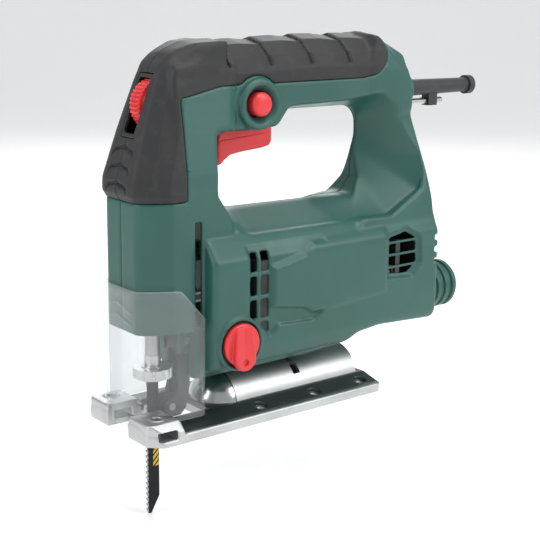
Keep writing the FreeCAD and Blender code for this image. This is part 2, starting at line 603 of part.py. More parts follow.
for x, z, depth in SCREWS:
    head = cut(rod("Y", (x, z), ("-(%s) + 0.6" % depth, "-(%s) + 3" % depth), "screw_head"),
               block(("%s - 0.5" % x, "%s + 0.5" % x), ("-(%s)" % depth, "-(%s) + 1.8" % depth),
                     ("%s - 2" % z, "%s + 2" % z)),
               block(("%s - 2" % x, "%s + 2" % x), ("-(%s)" % depth, "-(%s) + 1.8" % depth),
                     ("%s - 0.5" % z, "%s + 0.5" % z)))
    screws.append(fuse(head, rod("Y", (x, z), ("-(%s) + 3" % depth, "(%s) - 4" % depth), "screw_radius")))
node("housing_screws", fuse(*screws))

# Motor: armature, field, brushes and bearings on one axis.
motor = ("0", "motor_height")
core_rear = "core_front - core_length"
shaft_rear = core_rear + " - 50"
shaft_front = "gear_rear - 10"
node("armature_shaft", fuse(
    rod("X", motor, (shaft_rear, shaft_front), "shaft_radius"),
    rod("X", motor, (shaft_front, "gear_rear + gear_width"), "shaft_radius / 2")))
core = rod("X", motor, (core_rear, "core_front"), "core_radius")
slots = []
for i in range(12):
    angle = "%d" % (30 * i)
    slots.append(rod("X", ("(core_radius - 2.6) * cos(%s)" % angle,
                           "motor_height + (core_radius - 2.6) * sin(%s)" % angle),
                     (core_rear + " - 1", "core_front + 1"), "1.8"))
node("armature_core", cut(core, *slots, rod("X", motor, (core_rear + " - 1", "core_front + 1"),
                                            "shaft_radius")))
node("armature_windings", fuse(
    ring("X", motor, ("core_front", "core_front + 9"), "core_radius - 3", "shaft_radius"),
    ring("X", motor, (core_rear + " - 9", core_rear), "core_radius - 3", "shaft_radius")))
commutator_front = core_rear + " - 13"
bar_gaps = []
for i in range(12):
    gap = doc.addObject("Part::Box", "bar_gap")
    bind(gap, Length="20", Width="0.5", Height="2")
    angle = math.radians(30 * i)
    gap.Placement = FreeCAD.Placement(FreeCAD.Vector(), FreeCAD.Rotation(FreeCAD.Vector(1, 0, 0), 30 * i))
    lift = "(commutator_radius - 1)"
    place(gap, commutator_front + " - 19", "-%s * %.9f" % (lift, math.sin(angle)),
          "motor_height + %s * %.9f" % (lift, math.cos(angle)))
    bar_gaps.append(gap)
copper_ring = ring("X", motor, (commutator_front + " - 18", commutator_front), "commutator_radius",
                   "shaft_radius")
node("commutator", cut(copper_ring, *bar_gaps))
fan_hub = ring("X", motor, ("core_front + 14", "core_front + 24"), "shaft_radius + 4", "shaft_radius")
fan_disc = ring("X", motor, ("core_front + 14", "core_front + 16"), "fan_radius", "shaft_radius + 3")
blades = []
for i in range(9):
    vane = doc.addObject("Part::Box", "vane")
    bind(vane, Length="7", Width="1.4", Height="fan_radius - shaft_radius - 5")
    angle = math.radians(40 * i)
    vane.Placement = FreeCAD.Placement(FreeCAD.Vector(), FreeCAD.Rotation(FreeCAD.Vector(1, 0, 0), 40 * i))
    lift = "(shaft_radius + 3.5)"
    place(vane, "core_front + 15.5", "-%s * %.9f" % (lift, math.sin(angle)),
          "motor_height + %s * %.9f" % (lift, math.cos(angle)))
    blades.append(vane)
node("cooling_fan", fuse(fan_hub, fan_disc, *blades))
front_bearing = ("gear_rear - 20", "gear_rear - 20 + bearing_width")
rear_bearing = (shaft_rear, shaft_rear + " + bearing_width")


def bearing(span):
    """A ball bearing drawn as its two rings and the filled space between them."""
    middle = ("(%s) + 0.8" % span[0], "(%s) - 0.8" % span[1])
    return fuse(
        ring("X", motor, span, "bearing_radius", "bearing_radius - 1.8"),
        ring("X", motor, middle, "bearing_radius - 1.8", "shaft_radius + 1.6"),
        ring("X", motor, span, "shaft_radius + 1.6", "shaft_radius + running_gap"))


node("motor_bearings", fuse(bearing(front_bearing), bearing(rear_bearing)))
field_bore = "core_radius + air_gap"
node("field_core", cut(
    rod("X", motor, (core_rear, "core_front"), "field_radius"),
    rod("X", motor, (core_rear + " - 1", "core_front + 1"), field_bore),
    block((core_rear + " - 1", "core_front + 1"), ("field_radius - 1.5", "field_radius + 1"), ("0", "200")),
    block((core_rear + " - 1", "core_front + 1"), ("-field_radius - 1", "-field_radius + 1.5"),
          ("0", "200"))))
coil_ring = fuse(ring("X", motor, ("core_front", "core_front + 9"), "field_radius - 2", field_bore),
                 ring("X", motor, (core_rear + " - 9", core_rear), "field_radius - 2", field_bore))
node("field_coils", cut(coil_ring, block(("-200", "100"), ("-5", "5"), ("0", "200"))))
brush_x = commutator_front + " - 9"
brushes, holders, springs = [], [], []
for side in ("", "-"):
    spans = (side + "(commutator_radius + 0.2)", side + "(commutator_radius + 12)")
    near, far = spans if side == "" else (spans[1], spans[0])
    brushes.append(block((brush_x + " - 3", brush_x + " + 3"), (near, far),
                         ("motor_height - 4", "motor_height + 4")))
    spans = (side + "(commutator_radius + 2)", side + "(commutator_radius + 17)")
    near, far = spans if side == "" else (spans[1], spans[0])
    holders.append(cut(
        block((brush_x + " - 4.2", brush_x + " + 4.2"), (near, far),
              ("motor_height - 5.2", "motor_height + 5.2")),
        block((brush_x + " - 3.05", brush_x + " + 3.05"), ("-60", "60"),
              ("motor_height - 4.05", "motor_height + 4.05"))))
    spans = (side + "(commutator_radius + 12)", side + "(commutator_radius + 16.5)")
    near, far = spans if side == "" else (spans[1], spans[0])
    springs.append(ring("Y", (brush_x, "motor_height"), (near, far), "2.6", "1.8"))
node("carbon_brushes", fuse(*brushes))
node("brush_holders", fuse(*holders))
node("brush_springs", fuse(*springs))
node("brush_plate", cut(
    block((brush_x + " - 7.5", brush_x + " - 4.2"), ("-barrel_half + wall + 1", "barrel_half - wall - 1"),
          ("motor_height - 20", "motor_height + 20")),
    rod("X", motor, ("-200", "200"), "commutator_radius + 1.5")))
node("rear_bearing_cup", cut(
    block((shaft_rear + " - 2.5", shaft_rear + " + bearing_width"),
          ("-barrel_half + wall", "barrel_half - wall"),
          ("motor_height - 15", "motor_height + 15")),
    rod("X", motor, (shaft_rear, shaft_rear + " + 50"), "bearing_radius")))


# Gears: involute teeth at a pressure angle of 25 degrees, thinned for backlash.
def gear_face(teeth, phase, addendum, backlash):
    """A toothed face in the YZ plane about the X axis: each flank is an involute from the base
    circle, and half the tooth's angle at radius r is its angle on the pitch circle plus the
    involute angle there minus that at r."""
    module = size("tooth_module")
    pressure = math.radians(25)
    pitch = module * teeth / 2
    base = pitch * math.cos(pressure)
    root = pitch - 1.05 * module
    half = math.pi / (2 * teeth) - backlash / (2 * pitch)

    def half_angle(radius):
        turn = math.acos(min(1, base / radius))
        return half + (math.tan(pressure) - pressure) - (math.tan(turn) - turn)

    radii = [max(base, root) + (pitch + addendum - max(base, root)) * k / 5 for k in range(6)]
    points = []
    for i in range(teeth):
        middle = 2 * math.pi * i / teeth + phase
        flank = [(root, half_angle(max(base, root)))] + [(r, half_angle(r)) for r in radii]
        for r, a in flank:
            points.append((r, middle - a))
        for r, a in reversed(flank):
            points.append((r, middle + a))
    places = [FreeCAD.Vector(0, r * math.sin(a), r * math.cos(a)) for r, a in points]
    return Part.Face(Part.makePolygon(places + [places[0]]))


def gear(name, teeth, phase, span, height, bore, addendum):
    """A spur gear along X, from its face, with a plain bore."""
    face = gear_face(teeth, phase, addendum, 0.3)
    solid = face.extrude(FreeCAD.Vector(span[1] - span[0], 0, 0))
    solid = solid.cut(Part.makeCylinder(bore, 200, FreeCAD.Vector(-100, 0, 0), FreeCAD.Vector(1, 0, 0)))
    item = doc.addObject("Part::Feature", name)
    item.Shape = solid
    item.Placement = FreeCAD.Placement(FreeCAD.Vector(span[0], 0, height), FreeCAD.Rotation())
    return item


pinion_count, gear_count = int(size("pinion_teeth")), int(size("gear_teeth"))
centre_distance = size("tooth_module") * (pinion_count + gear_count) / 2
crank_height = "(motor_height + tooth_module * (pinion_teeth + gear_teeth) / 2)"
node("drive_pinion", gear("pinion", pinion_count, 0,
                          (size("gear_rear - 0.5"), size("gear_rear + gear_width")),
                          size("motor_height"), size("shaft_radius / 2"), 0.75 * size("tooth_module")))
gear_phase = math.pi + math.pi / gear_count
crank = ("0", crank_height)
wheel = gear("wheel", gear_count, gear_phase, (size("gear_rear"), size("gear_rear + gear_width")),
             size(crank_height), size("axle_radius + running_gap"), 0.75 * size("tooth_module"))
node("crank_gear", wheel)
gear_front = "gear_rear + gear_width"
node("crank_pin", rod("X", ("stroke / 2", crank_height), (gear_front, "yoke_rear - yoke_gap"),
                      "crank_pin_radius"))
weight = common(
    ring("X", crank, (gear_front, gear_front + " + 3"), "tooth_module * gear_teeth / 2 - 2.5",
         "axle_radius + 2.5"),
    block(("0", "100"), ("-40", "-axle_radius + 1"), ("0", "200")))
node("counterweight", weight)
node("gear_axle", fuse(
    rod("X", crank, ("gear_rear - 18", gear_front + " + 1"), "axle_radius"),
    rod("X", crank, (gear_front + " + 1", gear_front + " + 2.5"), "axle_radius + 1.5")))
plate = cut(
    fuse(block(("gear_rear - 20", "gear_rear - 12"), ("-barrel_half + wall", "barrel_half - wall"),
               ("motor_height - 18", "barrel_top - 24")),
         block(("gear_rear - 20", "gear_rear - 12"), ("-barrel_half + 13", "barrel_half - 13"),
               ("motor_height - 18", "barrel_top - 14"))),
    rod("X", motor, ("gear_rear - 21", "gear_rear - 14"), "bearing_radius"),
    rod("X", motor, ("gear_rear - 15", "gear_rear - 11"), "shaft_radius + 1.5"),
    rod("X", crank, ("gear_rear - 18", "gear_rear - 11"), "axle_radius"))
node("gear_case", plate)

# Plunger: rod, yoke, blade holder, quick clamp collar and blade.
plunger = ("plunger_x", "0")
holder_top = "(collar_bottom + collar_height + 5)"
yoke_half = "(stroke / 2 + crank_pin_radius + 3)"
yoke = cut(
    block(("yoke_rear", "plunger_x - plunger_radius + 0.6"), ("-" + yoke_half, yoke_half),
          (crank_height + " - crank_pin_radius - 3.5", crank_height + " + crank_pin_radius + 3.5")),
    block(("yoke_rear - 1", "yoke_rear + 6.5"), ("-" + yoke_half + " + 2", yoke_half + " - 2"),
          (crank_height + " - crank_pin_radius - 0.4", crank_height + " + crank_pin_radius + 0.4")))
plunger_rod = rod("Z", plunger, (holder_top, "guide_top + stroke / 2 + 1"), "plunger_radius")
node("plunger_rod", plunger_rod)
node("plunger_yoke", cut(yoke, rod("Z", plunger, ("0", "200"), "plunger_radius")))
shank = "(blade_width - 2)"
node("blade_holder", cut(
    fuse(rod("Z", plunger, ("collar_bottom - 0.5", "collar_bottom + collar_height - 0.8"), "holder_radius"),
         rod("Z", plunger, ("collar_bottom + collar_height - 0.8", holder_top), "plunger_radius + 0.3")),
    block(("plunger_x - %s / 2 - 0.1" % shank, "plunger_x + %s / 2 + 0.1" % shank),
          ("-blade_thick / 2 - 0.1", "blade_thick / 2 + 0.1"), ("0", "collar_bottom + collar_height + 2"))))
collar_ring = ring("Z", plunger, ("collar_bottom", "collar_bottom + collar_height - 1.2"), "collar_radius",
                   "holder_radius + running_gap")
knurls = []
for i in range(12):
    angle = "%d" % (30 * i)
    knurls.append(rod("Z", ("plunger_x + (collar_radius + 0.4) * cos(%s)" % angle,
                            "(collar_radius + 0.4) * sin(%s)" % angle),
                            ("collar_bottom - 1", "collar_bottom + 20"), "1"))
node("clamp_collar", cut(collar_ring, *knurls))
node("collar_circlip", ring("Z", plunger, ("collar_bottom - 1.3", "collar_bottom - 0.5"),
                            "holder_radius + 1.4",
                            "holder_radius - 1.6"))
blade_back = "(plunger_x - blade_width / 2 + 1)"
blade_front = "(%s + blade_width)" % blade_back
tooth_count = int((size("ridge_height") - size("blade_tip") + 2) / size("tooth_pitch"))
outline = [(blade_back, "collar_bottom - 3"), (blade_back, "blade_tip + 9"),
           (blade_front + " - 3", "blade_tip")]
outline.append((blade_front + " - tooth_depth", "blade_tip"))
for i in range(tooth_count):
    # Each tooth is flat below and slopes down towards its point, which cuts on the way up.
    outline.append((blade_front, "blade_tip + %.1f * tooth_pitch" % (i + 0.9)))
    outline.append((blade_front + " - tooth_depth", "blade_tip + %d * tooth_pitch" % (i + 1)))
outline += [
    (blade_front + " - tooth_depth", "collar_bottom - 6"), (blade_front + " - 1", "collar_bottom - 3"),
    ("plunger_x + %s / 2" % shank, "collar_bottom - 2"),
    ("plunger_x + %s / 2" % shank, "collar_bottom + collar_height + 1.5"),
    ("plunger_x - %s / 2" % shank, "collar_bottom + collar_height + 1.5"),
    ("plunger_x - %s / 2" % shank, "collar_bottom - 2"),
]
node("saw_blade", prism("XZ", outline, ("-blade_thick / 2", "blade_thick / 2")))

# Swinging guide: two bush blocks joined by side rails, hung from a cross pin.
rail_half = "(%s + 1)" % yoke_half
guide_x = ("plunger_x - plunger_radius - 3", "plunger_x + plunger_radius + 3")
rails = [block(("plunger_x - 3.5", "plunger_x + 3.5"), span, ("guide_bottom + 2", "guide_top"))
         for span in ((rail_half, rail_half + " + 1.6"), ("-%s - 1.6" % rail_half, "-" + rail_half))]
guide_blocks = [block(guide_x, ("-" + rail_half, rail_half), ("guide_bottom", "guide_bottom + 9")),
                block(guide_x, ("-" + rail_half, rail_half), ("guide_top - 12", "guide_top"))]
pin_seats = common(
    rod("Y", ("plunger_x", "guide_pivot"), ("-60", "60"), "pin_radius + running_gap"),
    fuse(block(("0", "100"), (rail_half + " - 0.01", "60"), ("0", "300")),
         block(("0", "100"), ("-60", "-" + rail_half + " + 0.01"), ("0", "300"))))
node("plunger_guide", cut(fuse(*rails, *guide_blocks),
                          rod("Z", plunger, ("0", "300"), "plunger_radius + 1.6"), pin_seats))
node("guide_bushes", fuse(*[
    ring("Z", plunger, span, "plunger_radius + 1.6", "plunger_radius + running_gap")
    for span in (("guide_bottom", "guide_bottom + 9"), ("guide_top - 12", "guide_top"))]))
node("plunger_seal", ring("Z", plunger, ("guide_bottom - 1.4", "guide_bottom"), "plunger_radius + 3",
                          "plunger_radius + running_gap * 2"))
# Two stub pins stand in the housing's walls and reach through the guide's rails.
node("guide_pins", fuse(*[rod("Y", ("plunger_x", "guide_pivot"), span, "pin_radius") for span in (
    (rail_half + " + 0.2", guide_pin_end), ("-" + guide_pin_end, "-%s - 0.2" % rail_half))]))

# Roller guide: fork, roller and its axle behind the blade.
roller_x = "(%s - roller_root - roller_gap)" % blade_back
FORK = [
    ("fork_pivot_x - 4", "fork_pivot_z + 3"), ("fork_pivot_x - 4", "roller_height + 10"),
    (roller_x + " - 8.5", "roller_height - 2"), (roller_x + " - 5", "roller_height - 5.5"),
    (roller_x + " + 3", "roller_height - 5.5"), (roller_x + " + 4.5", "roller_height - 2"),
    (roller_x + " + 4", "roller_height + 3.5"), (roller_x + " - 2.5", "roller_height + 6"),
    ("fork_pivot_x + 3.4", "roller_height + 10"),
    ("fork_pivot_x + 3.4", "fork_pivot_z - 3"), ("fork_pivot_x + 2", "fork_pivot_z + 3"),
]
fork = prism("XZ", FORK, ("-" + fork_half, fork_half))
roller_y = ("-roller_half - 0.4", "roller_half + 0.4")
node("roller_fork", cut(
    fork,
    block((roller_x + " - 7.2", "100"), roller_y, ("0", "roller_height + 8")),
    block(("fork_pivot_x - 0.5", "100"), roller_y, ("0", "fork_pivot_z - 6")),
    rod("Y", (roller_x, "roller_height"), ("-20", "20"), "pin_radius"),
    rod("Y", ("fork_pivot_x", "fork_pivot_z"), ("-20", "20"), "pin_radius + running_gap")))
roller_at = (roller_x, "roller_height")
roller = ring("Y", roller_at, ("-roller_half", "roller_half"), "roller_rim", "pin_radius + running_gap")
groove = ring("Y", roller_at, ("-blade_thick / 2 - 0.5", "blade_thick / 2 + 0.5"), "roller_rim + 2",
              "roller_root")
node("blade_roller", cut(roller, groove))
node("roller_axle", rod("Y", roller_at, ("-" + fork_half, fork_half), "pin_radius"))
node("fork_bracket", cut(
    block(("fork_pivot_x - 6.4", "fork_pivot_x + 4.2"), ("-" + bracket_y, bracket_y),
          ("fork_pivot_z - 7", "nose_bottom")),
    block(("fork_pivot_x - 4.8", "fork_pivot_x + 5"), ("-%s - 0.4" % fork_half, fork_half + " + 0.4"),
          ("fork_pivot_z - 8", "fork_pivot_z + 5")),
    rod("Y", ("fork_pivot_x", "fork_pivot_z"), ("-30", "30"), "pin_radius")))
node("fork_pin", rod("Y", ("fork_pivot_x", "fork_pivot_z"), ("-" + bracket_y, bracket_y), "pin_radius"))

# Clear guard round the front of the nose.
GUARD = [
    ("guard_rear", "-nose_half - @"), ("nose_front - 16 + @ / 2", "-nose_half - @"),
    ("nose_front - 2 + @", "-nose_half + 8"),
    ("nose_front + @", "-nose_half + 11"), ("nose_front + @", "nose_half - 11"),
    ("nose_front - 2 + @", "nose_half - 8"),
    ("nose_front - 16 + @ / 2", "nose_half + @"), ("guard_rear", "nose_half + @"),
]
guard_span = ("guard_tongue", "guard_top")
guard = prism("XY", moved_in(GUARD, "(guard_gap + guard_wall)"), guard_span)
pocket(guard, "XY", [("guard_rear - 1", b) if a == "guard_rear" else (a, b) for a,
                     b in moved_in(GUARD, "guard_gap")],
       ("guard_tongue - 1", "guard_top + 1"))
tongue_half = "(slot_half - 2.3)"
guard_cuts = []
for span in ((tongue_half, "60"), ("-60", "-" + tongue_half)):
    guard_cuts.append(block(("0", "throat_front + 2.5"), span, ("0", "guard_bottom")))
    guard_cuts.append(block(("throat_front + 2.5", "100"), span, ("0", "block_height + 0.8")))
node("blade_guard", cut(guard, *guard_cuts))

# Trigger, switch, lock button and speed wheel.
TRIGGER = [
    ("trigger_rear", "handle_bottom - 2"), ("trigger_rear", "trigger_bottom + 1"),
    ("trigger_rear + 2", "trigger_bottom - 0.5"),
    ("trigger_front - 12", "trigger_bottom - 2.5"), ("trigger_front - 4", "trigger_bottom - 4"),
    ("trigger_front", "trigger_bottom - 8"), ("trigger_front", "handle_bottom - 2"),
]
trigger = prism("XZ", TRIGGER, ("-trigger_half", "trigger_half"))
pocket(trigger, "XY", [
    ("trigger_rear + 1.8", "-trigger_half + 1.8"), ("trigger_front - 1.8", "-trigger_half + 1.8"),
    ("trigger_front - 1.8", "trigger_half - 1.8"), ("trigger_rear + 1.8", "trigger_half - 1.8"),
], ("trigger_bottom + 3", "handle_bottom"))
node("trigger", trigger)
trigger_stop = "(handle_bottom - 2 + trigger_travel + 0.5)"
node("switch_module", cut(
    block(("trigger_rear - 2", "trigger_front - 2"), ("-8", "8"), (trigger_stop, trigger_stop + " + 10")),
    block(("-0.4", "6.4"), ("-2.9", "2.9"), (trigger_stop + " - 1",
                                             trigger_stop + " + trigger_travel + 3"))))
node("switch_plunger", block(("0", "6"), ("-2.5", "2.5"), ("trigger_bottom + 3", trigger_stop + " + 1.5")))
button_in = "(button_face - 9)"
node("lock_button", fuse(
    rod("Y", ("button_x", "button_z"), (button_in, "button_face - 1.6"), "button_radius"),
    cone("Y", ("button_x", "button_z"), ("button_face - 1.6", "button_face"),
         ("button_radius", "button_radius * 0.7"))))
node("speed_wheel", cut(
    rod("Y", ("wheel_x", "wheel_z"), ("-wheel_half", "wheel_half"), "wheel_radius"),
    rod("Y", ("wheel_x", "wheel_z"), ("-20", "20"), "pin_radius + running_gap"),
    *[rod("Y", ("wheel_x + (wheel_radius + 0.5) * cos(%d)" % (15 * i),
                "wheel_z + (wheel_radius + 0.5) * sin(%d)" % (15 * i)),
          ("-20", "20"), "1.1") for i in range(24)]))
node("wheel_axle", rod("Y", ("wheel_x", "wheel_z"), ("-wheel_half - 2.4", "wheel_half + 2.4"),
                       "pin_radius"))
cheeks = [block(("wheel_x - 16", "wheel_x + 4"), span, ("wheel_z - 8", "wheel_z + 6")) for span in (
    ("wheel_half + 0.5", "wheel_half + 2.4"), ("-wheel_half - 2.4", "-wheel_half - 0.5"))]
cheeks.append(block(("wheel_x - 20", "wheel_x - 16"), ("-wheel_half - 2.4", "wheel_half + 2.4"),
                    ("wheel_z - 8", "wheel_z + 6")))
node("speed_module", cut(fuse(*cheeks), rod("Y", ("wheel_x", "wheel_z"), ("-20", "20"), "pin_radius")))

# Stroke action lever on the left side, with its shaft and cam inside.
LEVER = [(-4.6, 8.6), (-3.4, 9.6), (3.4, 9.6), (4.6, 8.6), (5.6, 2), (6.4, -6), (6, -9.4),
         (3.6, -12.6), (0, -13.5), (-3.6, -12.6), (-6, -9.4), (-6.4, -6), (-5.6, 2)]
knob = prism("XZ", [("lever_x + %s" % a, "lever_z + %s" % b) for a, b in LEVER],
             ("barrel_half + 2.2", "barrel_half + lever_stand"))
node("action_lever", fuse(
    knob, rod("Y", ("lever_x", "lever_z"), ("barrel_half - 0.4", "barrel_half + 2.2"),
              "lever_recess - move_gap - 0.6")))
node("lever_shaft", rod("Y", ("lever_x", "lever_z"), ("barrel_half - 14", "barrel_half - 0.4"),
                        "axle_radius"))
node("lever_cam", cut(
    rod("Y", ("lever_x", "lever_z"), ("barrel_half - 18", "barrel_half - 14"), "axle_radius + 1.5"),
    block(("lever_x + 2", "lever_x + 20"), ("0", "barrel_half"), ("0", "100"))))

# Dust port with three ribs, cord sleeve, gland and the key that is kept under it.
port = ("0", "port_z")
port_parts = [rod("X", port, ("port_end", port_root), "port_radius - 1.5")]
for i in range(3):
    port_parts.append(rod("X", port, ("port_end + %d" % (1 + 6 * i), "port_end + %d" % (4 + 6 * i)),
                          "port_radius"))
node("dust_port", cut(fuse(*port_parts), rod("X", port, ("-300", "100"), "port_radius - 1.5 - port_wall")))
sleeve = ("0", "gland_z")
sleeve_end = "(gland_x - 13 - sleeve_length)"
key_clip = "(gland_x - 40)"
node("cord_sleeve", cut(
    fuse(cone("X", sleeve, (sleeve_end, "gland_x - 2"), ("sleeve_radius - 0.8", "sleeve_radius")),
         rod("X", sleeve, (sleeve_end + " - 4", sleeve_end), "sleeve_radius + 0.6"),
         rod("X", sleeve, ("gland_x - 2", "gland_x + 1"), "sleeve_radius + 2"),
         block((key_clip, key_clip + " + 7"), ("-3", "3"), (key_z + " - 2.6", "gland_z - 3"))),
    rod("X", sleeve, ("-300", "0"), "cord_radius"),
    rod("X", ("0", key_z), (key_clip + " - 1", key_clip + " + 8"), "key_across * 0.58 + 0.2")))


key_rear = "(gland_x - 46)"
long_arm = prism("YZ", [(a, "%s + %s" % (key_z, b)) for a, b in hexagon("key_across")],
                 (key_rear, "gland_x - 8"))
short_arm = prism("XZ", [("%s + key_across / 2 + %s" % (key_rear, a), "%s + %s" % (key_z, b))
                         for a, b in hexagon("key_across")], ("-14", "0"))
node("hex_key", fuse(long_arm, short_arm))
node("cord_clamp", cut(
    block(("gland_x + 4", "gland_x + 11"), ("-handle_half + wall", "handle_half - wall"),
          ("gland_z - 6", "gland_z + 6")),
    rod("X", sleeve, ("-300", "0"), "cord_radius")))
node("capacitor", block(("gland_x - 6", "gland_x + 8"), ("-7", "7"), ("barrel_top + 4", "barrel_top + 16")))

doc.recompute()
# Every feature has to have worked, and every sub-part to be sound, before a file is written.
for item in doc.Objects:
    for state in item.State:
        if state in ("Invalid", "Error"):
            raise RuntimeError("%s (%s) failed: %s" % (item.Name, item.Label, item.getStatusString()))
for label, item in NODES.items():
    if item.Shape.isNull() or not item.Shape.isValid():
        raise RuntimeError("%s has no valid shape" % label)
os.makedirs("parts", exist_ok=True)
for label, item in NODES.items():
    item.Shape.exportStep("parts/%s.step" % label)
print("sub-parts written:", len(NODES))
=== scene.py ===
import json
import logging
import math
from dataclasses import dataclass, field
from enum import Enum
from typing import Callable, Iterable, Protocol, Sequence

import bpy
import numpy as np
import openvdb
from mathutils import Matrix, Vector


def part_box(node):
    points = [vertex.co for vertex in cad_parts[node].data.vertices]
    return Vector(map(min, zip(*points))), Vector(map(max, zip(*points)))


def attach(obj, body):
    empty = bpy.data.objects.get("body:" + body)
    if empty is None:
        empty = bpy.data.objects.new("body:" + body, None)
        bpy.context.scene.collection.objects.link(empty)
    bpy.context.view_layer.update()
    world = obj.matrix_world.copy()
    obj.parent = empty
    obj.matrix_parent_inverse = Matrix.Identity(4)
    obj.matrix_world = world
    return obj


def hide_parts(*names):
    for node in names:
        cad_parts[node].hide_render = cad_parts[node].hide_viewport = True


# Looks of a corded jigsaw. +X is the cutting direction, +Y the tool's left side, +Z up.
# Forms are worked out in millimetres and put into meshes in metres, in the frame's own place.

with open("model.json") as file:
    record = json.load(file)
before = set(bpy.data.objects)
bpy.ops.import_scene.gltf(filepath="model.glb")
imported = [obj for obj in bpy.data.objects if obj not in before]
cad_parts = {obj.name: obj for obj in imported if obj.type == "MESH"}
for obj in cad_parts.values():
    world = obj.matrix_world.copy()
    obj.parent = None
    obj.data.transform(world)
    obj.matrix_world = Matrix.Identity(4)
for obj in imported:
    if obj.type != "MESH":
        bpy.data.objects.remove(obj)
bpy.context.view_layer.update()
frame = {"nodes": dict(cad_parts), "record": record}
LOG = logging.getLogger("jigsaw")
MM = 0.001
Point = tuple[float, float]
Triple = tuple[float, float, float]
Colour = Triple


class Side(Enum):
    """The two halves of the tool, by the sign of their Y."""

    LEFT = 1
    RIGHT = -1


class Axis(Enum):
    """The frame's axes, by their place in a point."""

    X = 0
    Y = 1
    Z = 2


class Body(Enum):
    """Moving bodies of the frame that new pieces ride on."""

    HOUSING = "housing"
    SOLE = "sole"
    GUARD = "guard"
    TRIGGER = "trigger"
    LOCK = "lock_button"
    LEVER = "action_lever"
    WHEEL = "speed_wheel"


# ---------------------------------------------------------------- forms as distance fields


@dataclass
class Space:
    """A regular grid of points on which forms are worked out as signed distances.

    A form is an array of distances to its surface, negative inside. Forms that hold along
    one axis have a size of one on that axis, and arrays of different forms broadcast.
    """

    low: Triple
    high: Triple
    step: float
    x: np.ndarray = field(init=False)
    y: np.ndarray = field(init=False)
    z: np.ndarray = field(init=False)

    def __post_init__(self) -> None:
        """Lay out the three axes of the grid."""
        axes = [np.arange(a, b + self.step, self.step) for a, b in zip(self.low, self.high)]
        self.x, self.y, self.z = np.meshgrid(*axes, indexing="ij", sparse=True)

    @property
    def aside(self) -> np.ndarray:
        """Distance from the tool's middle plane."""
        return np.abs(self.y)

    def drum(self, axis: Axis, middle: Point, radius: float, span: Point, soft: float) -> np.ndarray:
        """A round drum along one axis.

        Args:
            axis: The axis that it lies along.
            middle: Its place on the other two axes, in their order.
            radius: Its radius.
            span: Where it starts and ends.
            soft: Rounding of its edges.

        Returns:
            Signed distances, negative inside the drum.
        """
        across = [self.x, self.y, self.z]
        along = across.pop(axis.value)
        return shared(disc(*across, middle, radius), between(along, *span), soft)

    def outline(self, u: np.ndarray, v: np.ndarray, points: Sequence[Point], soft: float = 0) -> np.ndarray:
        """Distance to a closed outline in the plane of two coordinates.

        Args:
            u: First coordinate of every grid point.
            v: Second coordinate of every grid point.
            points: Corners of the outline.
            soft: How far its corners are rounded, by blurring the distances.

        Returns:
            Signed distances, negative inside the outline.
        """
        nearest, inside = None, None
        for (u0, v0), (u1, v1) in zip(points, list(points[1:]) + [points[0]]):
            eu, ev, wu, wv = u1 - u0, v1 - v0, u - u0, v - v0
            along = np.clip((wu * eu + wv * ev) / (eu * eu + ev * ev), 0, 1)
            square = (wu - eu * along) ** 2 + (wv - ev * along) ** 2
            crossed = ((v0 > v) != (v1 > v)) & (u < eu * (v - v0) / (ev if ev else 1e-9) + u0)
            nearest = square if nearest is None else np.minimum(nearest, square)
            inside = crossed if inside is None else inside ^ crossed
        distance = np.where(inside, -1.0, 1.0) * np.sqrt(nearest)
        return self.blurred(distance, soft) if soft else distance

    def blurred(self, values: np.ndarray, reach: float) -> np.ndarray:
        """Blur an array that holds along one axis with a bell curve.

        The array's transform is multiplied by the transform of the bell curve.

        Args:
            values: The array.
            reach: The bell curve's standard deviation, in millimetres.

        Returns:
            The blurred array, of the same shape.
        """
        flat = np.squeeze(values)
        pad = int(3 * reach / self.step) + 1
        wide = np.pad(flat, pad, mode="reflect", reflect_type="odd")
        waves = [np.fft.fftfreq(n, self.step) for n in wide.shape]
        weight = np.exp(-2 * (np.pi * reach) ** 2 * (waves[0][:, None] ** 2 + waves[1][None, :] ** 2))
        soft = np.real(np.fft.ifft2(np.fft.fft2(wide) * weight))[pad:-pad, pad:-pad]
        return soft.reshape(values.shape)


def joined(a: np.ndarray, b: np.ndarray, radius: float) -> np.ndarray:
    """Union of two forms with a fillet of about the given radius where they meet."""
    share = np.clip(0.5 + 0.5 * (b - a) / radius, 0, 1)
    return b + (a - b) * share - radius * share * (1 - share)


def shared(a: np.ndarray, b: np.ndarray, radius: float) -> np.ndarray:
    """What two forms have in common, with edges rounded by about the given radius."""
    return -joined(-a, -b, radius)


def without(a: np.ndarray, b: np.ndarray, radius: float) -> np.ndarray:
    """The first form less the second, with edges rounded by about the given radius."""
    return -joined(-a, b, radius)


def between(values: np.ndarray, low: float, high: float) -> np.ndarray:
    """Distance to the slab between two values of one coordinate."""
    return np.abs(values - (low + high) / 2) - (high - low) / 2


def ramp(values: np.ndarray, start: float, end: float) -> np.ndarray:
    """A smooth step from 0 at start to 1 at end."""
    t = np.clip((values - start) / (end - start), 0, 1)
    return t * t * (3 - 2 * t)


def disc(u: np.ndarray, v: np.ndarray, centre: Point, radius: float) -> np.ndarray:
    """Distance to a circle in the plane of two coordinates."""
    return np.hypot(u - centre[0], v - centre[1]) - radius


